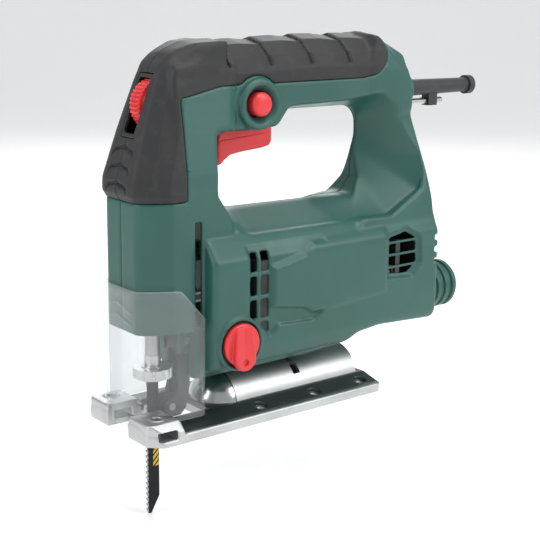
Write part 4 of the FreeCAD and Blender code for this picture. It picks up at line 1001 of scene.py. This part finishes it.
    def grip(self, whole: np.ndarray, side: Side) -> np.ndarray:
        """One half of the soft grip: a skin over the form, with its grooves.

        Args:
            whole: The outer form.
            side: Which half.

        Returns:
            Signed distances to the grip.
        """
        outer = whole - 0.25 + self.grip_relief()
        form = shared(shared(outer, self.soft_zone(side) + 0.08, 0.6), -(whole + self.grip_skin), 0.4)
        form = without(form, self.wheel_room(1.0), 0.5)
        return shared(form, 0.04 - self.space.y, 0.5)

    def bezel(self, whole: np.ndarray) -> np.ndarray:
        """Frame of the speed wheel's window: a thin plate on the form, open for the wheel.

        Args:
            whole: The outer form.

        Returns:
            Signed distances to the frame.
        """
        s = self.space
        reach = self.wheel_span - 1.2
        open_z = between(s.z, self.wheel[1] - reach, self.wheel[1] + reach)
        slot = shared(s.aside - self.wheel_half + 0.1, open_z, 0.5)
        plate = shared(shared(whole - 0.15, self.wheel_room(0.75), 0.5), -(whole + 2.4), 0.3)
        return without(plate, slot, 0.4)


# ---------------------------------------------------------------- surfaces on a grid


def eased(points: Sequence[Point], reach: float, bits: int = 4) -> np.ndarray:
    """A run of straight stretches whose inner corners are rounded.

    Each corner gives way to a parabola that starts and ends at most the given reach from it.

    Args:
        points: Corners of the run.
        reach: Length taken off each stretch at a corner.
        bits: Number of stretches along each parabola.

    Returns:
        The rounded run, one row per point.
    """
    corners = np.array(points, float)
    run = [corners[:1]]
    share = np.linspace(0, 1, bits + 1)[:, None]
    for before, corner, after in zip(corners[:-2], corners[1:-1], corners[2:]):
        ends = []
        for other in (before, after):
            span = np.linalg.norm(other - corner)
            ends.append(corner + (other - corner) * min(reach / max(span, 1e-6), 0.45))
        run.append((1 - share) ** 2 * ends[0] + 2 * share * (1 - share) * corner + share ** 2 * ends[1])
    run.append(corners[-1:])
    return np.concatenate(run)


def grid_piece(name: str, places: np.ndarray, closed_rows: bool = False) -> bpy.types.Object:
    """Make a closed surface from a grid of points, its columns running round.

    Args:
        name: The piece's name.
        places: Rows by columns by three coordinates, in millimetres.
        closed_rows: Whether the last row joins the first; if not, both are closed by a face.

    Returns:
        A new object in metres whose faces point outwards.
    """
    rows, columns = places.shape[:2]
    index = np.arange(rows * columns).reshape(rows, columns)
    ring = np.concatenate([index, index[:, :1]], axis=1)
    if closed_rows:
        ring = np.concatenate([ring, ring[:1]], axis=0)
    quads = np.stack([ring[:-1, :-1], ring[:-1, 1:], ring[1:, 1:], ring[1:, :-1]], axis=-1).reshape(-1, 4)
    faces = [quads] if closed_rows else [quads, index[:1, ::-1], index[-1:]]
    points = places.reshape(-1, 3)
    corners = points[quads]
    volume = np.einsum("ij,ij->", corners[:, 0], np.cross(corners[:, 1], corners[:, 2]))
    volume += np.einsum("ij,ij->", corners[:, 0], np.cross(corners[:, 2], corners[:, 3]))
    item = surface_object(name, points * MM, faces, bool(volume < 0))
    item.data.set_sharp_from_angle(angle=math.radians(38))
    return item


def lathed(name: str, axis: Axis, middle: Sequence[float], profile: np.ndarray, facets: int = 96,
           swell: Callable[[np.ndarray, np.ndarray], np.ndarray] | None = None,
           closed: bool = False) -> bpy.types.Object:
    """Turn a profile round an axis.

    A point is the axis point at the profile's distance, moved out by the profile's radius
    (times the swell for that angle and row) along the angle's direction.

    Args:
        name: The piece's name.
        axis: The axis that it is turned round, X or Y.
        middle: A point on the axis.
        profile: Rows of radius and place along the axis.
        facets: Number of points round.
        swell: Factor on the radius from the angles and the profile's rows.
        closed: Whether the profile is a closed loop, as for a ring.

    Returns:
        The new object.
    """
    turn = np.linspace(0, 2 * np.pi, facets, endpoint=False)[None, :]
    radius = profile[:, :1] * (swell(turn, profile[:, 1:]) if swell else 1.0)
    along = np.broadcast_to(profile[:, 1:], radius.shape if radius.shape[1] > 1 else (len(profile), facets))
    first, second = radius * np.cos(turn), radius * np.sin(turn)
    places = [middle[0] + first, middle[1] + first, middle[2] + second]
    places[axis.value] = along
    return grid_piece(name, np.stack(places, axis=-1), closed)


@dataclass
class GuardForm:
    """Clear guard: a bent plate round the nose, in millimetres."""

    gap: float = 0.6
    wall: float = 1.9
    rear: float = 41.5
    top: float = 77
    side_bottom: float = 9
    prong_bottom: float = 12.8
    tongue_bottom: float = 4
    tongue_half: float = 7.6
    slope: Point = (14, 16)
    nose_half: float = 24
    nose_front: float = 74

    def build(self) -> bpy.types.Object:
        """Carry a thin section round the nose.

        The path is the nose's outline moved out by the gap. At each place along it the section
        runs up the outer face and down the inner one. The outer face stands off by the wall,
        plus a rim at the top, two upright ribs at the rear edges and two bent ribs in front.

        Returns:
            The new object.
        """
        inner, front = self.nose_half + self.gap, self.nose_front + self.gap
        half = [(self.rear, inner), (front - 16.3, inner), (front - 2, inner - 8.6), (front, inner - 12.6)]
        run = eased(half + [(x, -y) for x, y in reversed(half)], 3.5, 8)
        lengths = np.concatenate([[0], np.cumsum(np.linalg.norm(np.diff(run, axis=0), axis=1))])
        place = np.linspace(0, lengths[-1], 260)
        path = np.stack([np.interp(place, lengths, run[:, k]) for k in (0, 1)], axis=1)
        heading = np.gradient(path, axis=0)
        heading /= np.linalg.norm(heading, axis=1, keepdims=True)
        outward = np.stack([-heading[:, 1], heading[:, 0]], axis=1)
        x, y = path[:, 0], np.abs(path[:, 1])
        top = self.top - self.slope[1] * np.clip((self.rear + self.slope[0] - x) / self.slope[0], 0, 1)
        bottom = self.side_bottom + (self.prong_bottom - self.side_bottom) * ramp(x, 57.2, 58.2)
        tongue = ramp(y, self.tongue_half + 0.5, self.tongue_half)
        bottom = bottom - (self.prong_bottom - self.tongue_bottom) * tongue
        share = np.concatenate([[0, 0.006, 0.02], np.linspace(0.05, 0.95, 90), [0.98, 0.994, 1]])[None, :]
        level = bottom[:, None] + (top - bottom)[:, None] * share
        edge = np.minimum(place, place[-1] - place)[:, None]
        rim = 0.7 * ramp(top[:, None] - level, 2.6, 2.0)
        upright = sum(np.exp(-((edge - at) / 0.75) ** 4) for at in (2.6, 6.2))
        upright = 0.7 * upright * ramp(level, 16, 20) * ramp(top[:, None] - level, 5, 8)
        bent = sum(np.exp(-((level - at + 0.3 * y[:, None]) / 0.7) ** 4) for at in (70.0, 63.5))
        bent = 0.6 * bent * ramp(y, 12.4, 11.4)[:, None] * ramp(x, front - 3, front - 1)[:, None]
        near_end = (1 - np.minimum(share, 1 - share) / 0.02).clip(0)
        rounding = 0.5 * (1 - np.sqrt(np.clip(1 - near_end ** 2, 0, 1)))
        thick = self.wall + rim + upright + bent - rounding
        outer = np.stack([path[:, None, k] + outward[:, None, k] * thick for k in (0, 1)] + [level], axis=-1)
        back = np.stack([np.broadcast_to(path[:, None, k], level.shape) for k in (0, 1)] + [level], axis=-1)
        return grid_piece("clear_guard", np.concatenate([outer, back[:, ::-1]], axis=1))


@dataclass
class SoleForm:
    """Cast footplate with its prongs, in millimetres."""

    step: float
    rim: float = 5
    ridge: float = 8
    ridge_half: float = 18
    slot_half: float = 10
    throat: Point = (31, 55)
    throat_half: float = 15.5
    block_rear: float = 58.5
    band: float = 3.2
    fence_x: float = 68
    bevel_hole: float = -30
    rivet_x: Point = (-64, 2)
    rivet_y: float = 10.4

    def build(self) -> bpy.types.Object:
        """Outline across, cut by the outline seen from above, with blocks, slots and holes.

        Returns:
            The new object.
        """
        low, high = extent("sole_plate")
        half, front = high[1], high[0]
        s = Space((low[0] - 2, low[1] - 2, -1.5), (front + 2, half + 2, high[2] + 1.6), self.step)
        across = s.outline(s.y, s.z, both([
            (half, 0), (half, self.rim - 0.4), (half - 0.6, self.rim + 0.1),
            (half - self.band, self.rim + 0.3), (half - self.band - 0.35, self.rim - 0.1),
            (self.ridge_half, self.ridge), (0, self.ridge)]))
        above = s.outline(s.y, s.x, both([
            (half - 3, low[0]), (half, low[0] + 3), (half, front - 6.5), (half - 6.5, front),
            (0, front)]), 0.6)
        plate = shared(across, above, 0.8)
        roof = s.outline(s.y, s.z, both([
            (half, 1), (half, self.rim + 2), (half - 5, high[2] - 0.5), (self.slot_half, high[2] - 0.5),
            (self.slot_half, 1)]), 0.2)
        block = shared(shared(roof, above, 0.8), self.block_rear - s.x, 1.2)
        clamp = (self.fence_x, half - 12)
        block = np.minimum(block, shared(disc(s.x, s.aside, clamp, 4.2), between(s.z, 8, high[2]), 0.4))
        form = joined(plate, block, 1.2)
        form = without(form, shared(disc(s.x, s.aside, clamp, 2.5), 7.3 - s.z, 0.2), 0.4)
        gap = shared(self.throat[1] - s.x - 1, s.aside - self.slot_half, 0.3)
        room = shared(between(s.x, *self.throat), s.aside - self.throat_half, 1.5)
        form = without(form, np.minimum(gap, room), 0.5)
        form = without(form, shared(between(s.x, self.fence_x - 5.2, self.fence_x + 5.2),
                                    between(s.z, 3.2, 7.8), 0.5), 0.3)
        relief = shared(between(s.x, low[0] + 8, self.throat[0] - 5),
                        between(s.aside, 6, self.ridge_half), 1.2)
        form = without(form, shared(relief, s.z - 2, 0.4), 0.4)
        holes = [disc(s.x, s.y, (self.bevel_hole, 0), 5.6)]
        holes += [disc(s.x, s.aside, (x, self.rivet_y), 2.0) for x in self.rivet_x]
        edge = [(x, half - 9) for x in (low[0] + 10, low[0] + 44, 4.0)]
        holes += [disc(s.x, s.aside, place, 2.0) for place in edge]
        sinks = [shared(disc(s.x, s.aside, place, 3.6), 4.6 - s.z, 0.2) for place in edge]
        for hole in holes + sinks:
            form = without(form, hole, 0.3)
        return Skin("footplate", s, form).mesh(detail=0.008)


@dataclass
class TriggerForm:
    """Red trigger paddle with its hook, in millimetres."""

    step: float

    def build(self) -> bpy.types.Object:
        """The paddle's outline seen from the side, rounded across, with a line along each flank.

        Returns:
            The new object.
        """
        low, high = extent("trigger")
        s = Space(tuple(low - 1.5), tuple(high + 1.5), self.step)
        rear, front, base = low[0], high[0], low[2]
        beside = s.outline(s.x, s.z, [
            (rear, high[2]), (rear, base + 10.5), (rear + 1.4, base + 8.2), (rear + 6, base + 7.2),
            (front - 16, base + 6), (front - 9, base + 4.9), (front - 5, base + 2.4), (front - 3, base + 0.4),
            (front - 1, base), (front, base + 1.2), (front, base + 10), (front - 0.6, base + 14),
            (front - 0.6, high[2])], 0.5)
        form = shared(beside, s.aside - high[1], 2.2)
        level = between(s.z - 0.08 * (front - s.x), base + 12.6, base + 13.4)
        line = shared(level, (high[1] - 0.5) - s.aside, 0.3)
        palm = (s.x - rear - 17) ** 2 / 330 + (s.z - base - 3.4) ** 2 / 12
        form = without(form, line, 0.3) + 0.35 * np.exp(-palm) * ramp(s.aside, 4.5, 1.0)
        return Skin("trigger_paddle", s, form).mesh(detail=0.004)


@dataclass
class LeverForm:
    """Red knob that sets the stroke's action, in millimetres."""

    step: float
    outline: tuple[Point, ...] = (
        (-4.8, 8.8), (-3.6, 9.8), (3.6, 9.8), (4.8, 8.8), (5.8, 2), (6.6, -6), (6.1, -9.4), (3.6, -12.6),
        (0, -13.6), (-3.6, -12.6), (-6.1, -9.4), (-6.6, -6), (-5.8, 2))

    def build(self) -> bpy.types.Object:
        """A wedge-shaped knob, round below, on a round base, with a small pit near its round end.

        Returns:
            The new object.
        """
        low, high = extent("action_lever")
        shaft = centre("lever_shaft")
        s = Space(tuple(low - 1.5), tuple(high + 1.5), self.step)
        x, z = s.x - shaft[0], s.z - shaft[2]
        knob = shared(s.outline(x, z, self.outline, 0.7), between(s.y, high[1] - 4.4, high[1]), 1.3)
        base = s.drum(Axis.Y, (shaft[0], shaft[2]), 11, (low[1], high[1] - 3.6), 0.6)
        pit = shared(np.hypot(x, z + 9.0) - 1.7, high[1] - 2 - s.y, 0.2)
        slant = s.y - high[1] + 0.5 + 0.09 * (z + 13.5 - 1.6 * np.abs(x))
        form = without(joined(shared(knob, slant, 0.8), base, 1.0), pit, 0.4)
        return Skin("action_knob", s, form).mesh(detail=0.004)


def lock_button() -> bpy.types.Object:
    """Domed lock button, turned round its own axis."""
    low, high = extent("lock_button")
    radius = (high[0] - low[0]) / 2
    profile = eased([(0.02, low[1]), (radius, low[1]), (radius, high[1] - 2.4), (radius - 0.9, high[1] - 1.0),
                     (radius - 2.8, high[1] - 0.25), (0.02, high[1])], 0.8)
    return lathed("lock_knob", Axis.Y, centre("lock_button"), profile, 96)


def speed_wheel() -> bpy.types.Object:
    """Speed wheel whose rim is cut by 36 round-bottomed flutes, faded out at its two faces."""
    low, high = extent("speed_wheel")
    radius = (high[0] - low[0]) / 2
    face = [(2.2, 0), (radius - 3.5, 0), (radius - 3.2, 0.5), (radius - 0.9, 0.5), (radius, 1.4)]
    profile = eased([(out, low[1] + inset) for out, inset in face]
                    + [(out, high[1] - inset) for out, inset in reversed(face)], 0.5, 3)

    def flutes(turn: np.ndarray, along: np.ndarray) -> np.ndarray:
        """Factor on the radius at an angle and a place along the axis."""
        near = ramp((high[1] - low[1]) / 2 - np.abs(along), 0.35, 0.6)
        return 1 - 0.06 * near * np.clip(np.cos(36 * turn), 0, 1) ** 0.7

    return lathed("speed_knob", Axis.Y, centre("speed_wheel"), profile, 360, flutes, closed=True)


def dust_pipe() -> bpy.types.Object:
    """Dust port: a ribbed tube, its profile a closed loop round the bore."""
    low, high = extent("dust_port")
    radius = (high[1] - low[1]) / 2
    back, front = low[0], high[0]
    run: list[Point] = [(11, front), (radius - 1.5, front)]
    for at in (front - 2.4, front - 8.6, front - 14.8, front - 21):
        run += [(radius - 1.6, at), (radius - 0.1, at - 0.4), (radius, at - 3.0), (radius - 1.6, at - 3.4)]
    run += [(radius - 1.7, back + 0.6), (radius - 2.2, back), (11.6, back), (11, back + 1.4)]
    return lathed("dust_pipe", Axis.X, centre("dust_port"), eased(run, 0.5, 3), 120, closed=True)


# ---------------------------------------------------------------- dress


class Finish(Protocol):
    """Anything that makes a material."""

    def material(self) -> bpy.types.Material:
        """Build the finish."""


PLASTIC_GREEN = MouldedPlastic("green_plastic", (0.012, 0.072, 0.058), (0.016, 0.085, 0.07), 0.36)
PLASTIC_RED = MouldedPlastic("red_plastic", (0.56, 0.018, 0.024), (0.66, 0.03, 0.032), 0.3, 2400, 0.000015)
PLASTIC_BLACK = MouldedPlastic("black_plastic", (0.012, 0.012, 0.013), (0.02, 0.02, 0.021), 0.38)
RUBBER = SoftRubber("soft_grip", (0.011, 0.011, 0.012), (0.035, 0.035, 0.035))
SLEEVE_RUBBER = SoftRubber("sleeve_rubber", (0.02, 0.021, 0.022), (0.05, 0.05, 0.05))

SLOT_FINISHES: dict[str, Finish] = {
    "housing_plastic": PLASTIC_GREEN,
    "soft_grip": RUBBER,
    "red_plastic": PLASTIC_RED,
    "black_plastic": PLASTIC_BLACK,
    "clear_plastic": ClearPlastic("clear_plastic", (0.62, 0.65, 0.66)),
    # The footplate's dark greenish second colour is a painted reflection of the housing on its top.
    "cast_aluminium": FootplateMetal("footplate_metal", (0.5, 0.51, 0.51), (0.05, 0.064, 0.06), 34, 58),
    "sheet_metal": SaddleMetal("saddle_metal", (0.55, 0.56, 0.56), 14),
    # The gear case is near black as painted shade: it shows only through the vents, where its colour stands
    # for the shadow inside the housing.
    "gear_case_metal": Metal("gear_case_metal", (0.07, 0.07, 0.072), (0.05, 0.05, 0.05), 0.5, cast=1.0),
    "steel": Metal("steel", (0.5, 0.5, 0.5), (0.38, 0.37, 0.36), 0.3),
    "bright_steel": Metal("bright_steel", (0.66, 0.66, 0.65), (0.5, 0.5, 0.49), 0.22),
    "black_steel": Metal("black_steel", (0.06, 0.06, 0.062), (0.1, 0.09, 0.085), 0.36),
    "blade_steel": BladeSteel("blade_steel", (0.02, 0.02, 0.022), (0.34, 0.34, 0.35),
                              (0.62, 0.42, 0.03), 60.0, (-24, 2)),
    "core_steel": Metal("core_steel", (0.3, 0.3, 0.31), (0.2, 0.17, 0.15), 0.42, (2600, 40, 40), 0.00003),
    "copper": Winding("copper", (0.68, 0.27, 0.12), (0.3, 0.09, 0.04)),
    "bronze": Metal("bronze", (0.55, 0.36, 0.17), (0.36, 0.22, 0.1), 0.35),
    "carbon": Metal("carbon", (0.03, 0.03, 0.032), (0.05, 0.05, 0.05), 0.55, cast=0.5),
    "felt": SoftRubber("felt", (0.16, 0.15, 0.13), (0.3, 0.29, 0.27)),
}


@dataclass
class Wardrobe:
    """Gives every node and piece its finish, one material for each slot."""

    made: dict[str, bpy.types.Material] = field(default_factory=dict)

    def material(self, slot: str) -> bpy.types.Material:
        """A slot's material, made when it is first asked for.

        Args:
            slot: A material slot of the record.

        Returns:
            The material.
        """
        if slot not in self.made:
            self.made[slot] = SLOT_FINISHES[slot].material()
        return self.made[slot]

    def dress_nodes(self) -> None:
        """Dress every node of the frame by its slot; the cord's sleeve has a rubber of its own."""
        sleeve = SLEEVE_RUBBER.material()
        for part in frame["record"]["subparts"]:
            item = frame["nodes"][part["node"]]
            material = sleeve if part["node"] == "cord_sleeve" else self.material(part["material_slot"])
            for place in item.material_slots:
                place.material = material
            if not item.material_slots:
                item.data.materials.append(material)

    def place(self, item: bpy.types.Object, body: Body, slot: str, *nodes: str) -> None:
        """Dress a new piece, let it ride on its body and stand for its nodes.

        Args:
            item: The piece.
            body: The body that it rides on.
            slot: Its material slot.
            nodes: The frame's nodes that it replaces, if any.
        """
        item.data.materials.append(self.material(slot))
        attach(item, body.value)
        if nodes:
            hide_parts(*nodes)
        LOG.info("%s: %d faces on %s", item.name, len(item.data.polygons), body.value)


# ---------------------------------------------------------------- assemblies


@dataclass
class Shell:
    """Housing halves, soft grips and the wheel's frame."""

    wardrobe: Wardrobe
    step: float

    def build(self) -> None:
        """Work the form out once and make each half's pieces from it."""
        form = BodyForm(self.step)
        whole = form.whole()
        fine = BodyForm(self.step * 0.66, window=((-91, -2, 117), (81, 27, 203)))
        fine_whole = fine.whole()
        for side, word in ((Side.LEFT, "left"), (Side.RIGHT, "right")):
            half = Skin(f"shell_{word}", form.space, form.housing(whole, side)).mesh(side, 0.01)
            self.wardrobe.place(half, Body.HOUSING, "housing_plastic", f"housing_{word}")
            grip = Skin(f"grip_{word}", fine.space, fine.grip(fine_whole, side)).mesh(side, 0.004)
            self.wardrobe.place(grip, Body.HOUSING, "soft_grip", f"soft_grip_{word}")
        small = BodyForm(self.step * 0.6, window=((34, -12, 144), (82, 12, 190)))
        frame_plate = Skin("wheel_frame", small.space, small.bezel(small.whole())).mesh()
        self.wardrobe.place(frame_plate, Body.HOUSING, "black_plastic")


@dataclass
class Controls:
    """Trigger, lock button, stroke lever and speed wheel."""

    wardrobe: Wardrobe
    step: float

    def build(self) -> None:
        """Make the four red pieces."""
        put = self.wardrobe.place
        put(TriggerForm(self.step).build(), Body.TRIGGER, "red_plastic", "trigger")
        put(LeverForm(self.step).build(), Body.LEVER, "red_plastic", "action_lever")
        put(lock_button(), Body.LOCK, "red_plastic", "lock_button")
        put(speed_wheel(), Body.WHEEL, "red_plastic", "speed_wheel")


@dataclass
class Base:
    """Footplate, clear guard and dust port."""

    wardrobe: Wardrobe
    step: float

    def build(self) -> None:
        """Make the pieces round the blade and at the rear."""
        put = self.wardrobe.place
        put(SoleForm(self.step).build(), Body.SOLE, "cast_aluminium", "sole_plate")
        put(GuardForm().build(), Body.GUARD, "clear_plastic", "blade_guard")
        put(dust_pipe(), Body.HOUSING, "housing_plastic", "dust_port")


# ---------------------------------------------------------------- studio


@dataclass
class Studio:
    """Pale floor that turns up into a backdrop, soft lights and the camera, in metres."""

    floor_height: float = -0.0502
    floor_half: float = 6.0
    bend_start: float = 2.0
    bend: float = 1.2
    backdrop_height: float = 5.0
    light_aim: Triple = (-0.03, 0, 0.08)
    camera_place: Triple = (0.37917, 0.50326, 0.22684)
    camera_aim: Triple = (-0.6053, -0.7609, -0.2338)
    camera_roll: float = 0.71
    lens: float = 80

    def backdrop(self) -> None:
        """A strip flat under the tool and turned up behind it through a quarter circle."""
        turn = np.linspace(0, np.pi / 2, 24)
        run = self.bend_start + self.bend * np.sin(turn)
        run = np.concatenate([[-self.floor_half], run, run[-1:]])
        rise = np.concatenate([[0.0], self.bend * (1 - np.cos(turn)), [self.backdrop_height]])
        aim = np.array(self.camera_aim[:2]) / np.linalg.norm(self.camera_aim[:2])
        side = np.array([-aim[1], aim[0]])
        across = np.linspace(-self.floor_half, self.floor_half, 3)[:, None]
        places = np.stack([aim[0] * run + side[0] * across, aim[1] * run + side[1] * across,
                           self.floor_height + rise + 0 * across], axis=-1)
        index = np.arange(places.shape[0] * places.shape[1]).reshape(places.shape[:2])
        quads = np.stack([index[:-1, :-1], index[1:, :-1], index[1:, 1:], index[:-1, 1:]], -1).reshape(-1, 4)
        floor = surface_object("studio_floor", places.reshape(-1, 3), [quads], True)
        shader = Shader("studio_paper")
        paper = shader.blend(shader.noise(3, 3), (0.83, 0.83, 0.825), (0.87, 0.87, 0.865))
        floor.data.materials.append(shader.finish(
            Base_Color=paper, Roughness=0.75, Emission_Color=(1.0, 1.0, 1.0), Emission_Strength=0.2))

    def light(self, name: str, place: Triple, size: float, power: float) -> None:
        """Add one square area light aimed at the tool.

        Args:
            name: Its name.
            place: Where it hangs.
            size: Its side.
            power: Its power, in watts.
        """
        data = bpy.data.lights.new(name, "AREA")
        data.energy, data.size = power, size
        item = bpy.data.objects.new(name, data)
        item.location = place
        item.rotation_euler = (Vector(self.light_aim) - Vector(place)).to_track_quat("-Z", "Y").to_euler()
        bpy.context.scene.collection.objects.link(item)

    def camera(self) -> None:
        """The camera, looking along its aim with a small roll."""
        aim = Vector(self.camera_aim).normalized()
        right = aim.cross(Vector((0, 0, 1))).normalized()
        up = right.cross(aim)
        roll = math.radians(self.camera_roll)
        turned_right = right * math.cos(roll) + up * math.sin(roll)
        turned_up = up * math.cos(roll) - right * math.sin(roll)
        data = bpy.data.cameras.new("camera")
        data.lens, data.sensor_width, data.clip_start = self.lens, 36.0, 0.01
        item = bpy.data.objects.new("camera", data)
        item.matrix_world = Matrix((turned_right, turned_up, -aim)).transposed().to_4x4()
        item.location = self.camera_place
        bpy.context.scene.collection.objects.link(item)
        bpy.context.scene.camera = item

    def build(self) -> None:
        """Set up the backdrop, a bright room, four soft lights and the camera."""
        self.backdrop()
        world = bpy.data.worlds.new("room")
        world.use_nodes = True
        background = world.node_tree.nodes["Background"]
        background.inputs[0].default_value = (0.95, 0.97, 1.0, 1.0)
        background.inputs[1].default_value = 0.5
        bpy.context.scene.world = world
        bpy.context.scene.view_settings.view_transform = "Standard"
        self.light("top_light", (-0.1, 0.35, 1.2), 0.9, 11)
        self.light("front_light", (1.1, -0.05, 0.55), 0.6, 6)
        self.light("side_light", (-0.75, 1.1, 0.75), 0.7, 9)
        self.light("rear_light", (-0.7, -0.9, 0.8), 0.7, 6)
        self.camera()


def main() -> None:
    """Build every assembly in order."""
    logging.basicConfig(level=logging.INFO)
    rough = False
    wardrobe = Wardrobe()
    wardrobe.dress_nodes()
    Studio().build()
    Shell(wardrobe, 1.2 if rough else 0.8).build()
    Controls(wardrobe, 0.5 if rough else 0.3).build()
    Base(wardrobe, 0.9 if rough else 0.6).build()


if __name__ == "__main__":
    main()
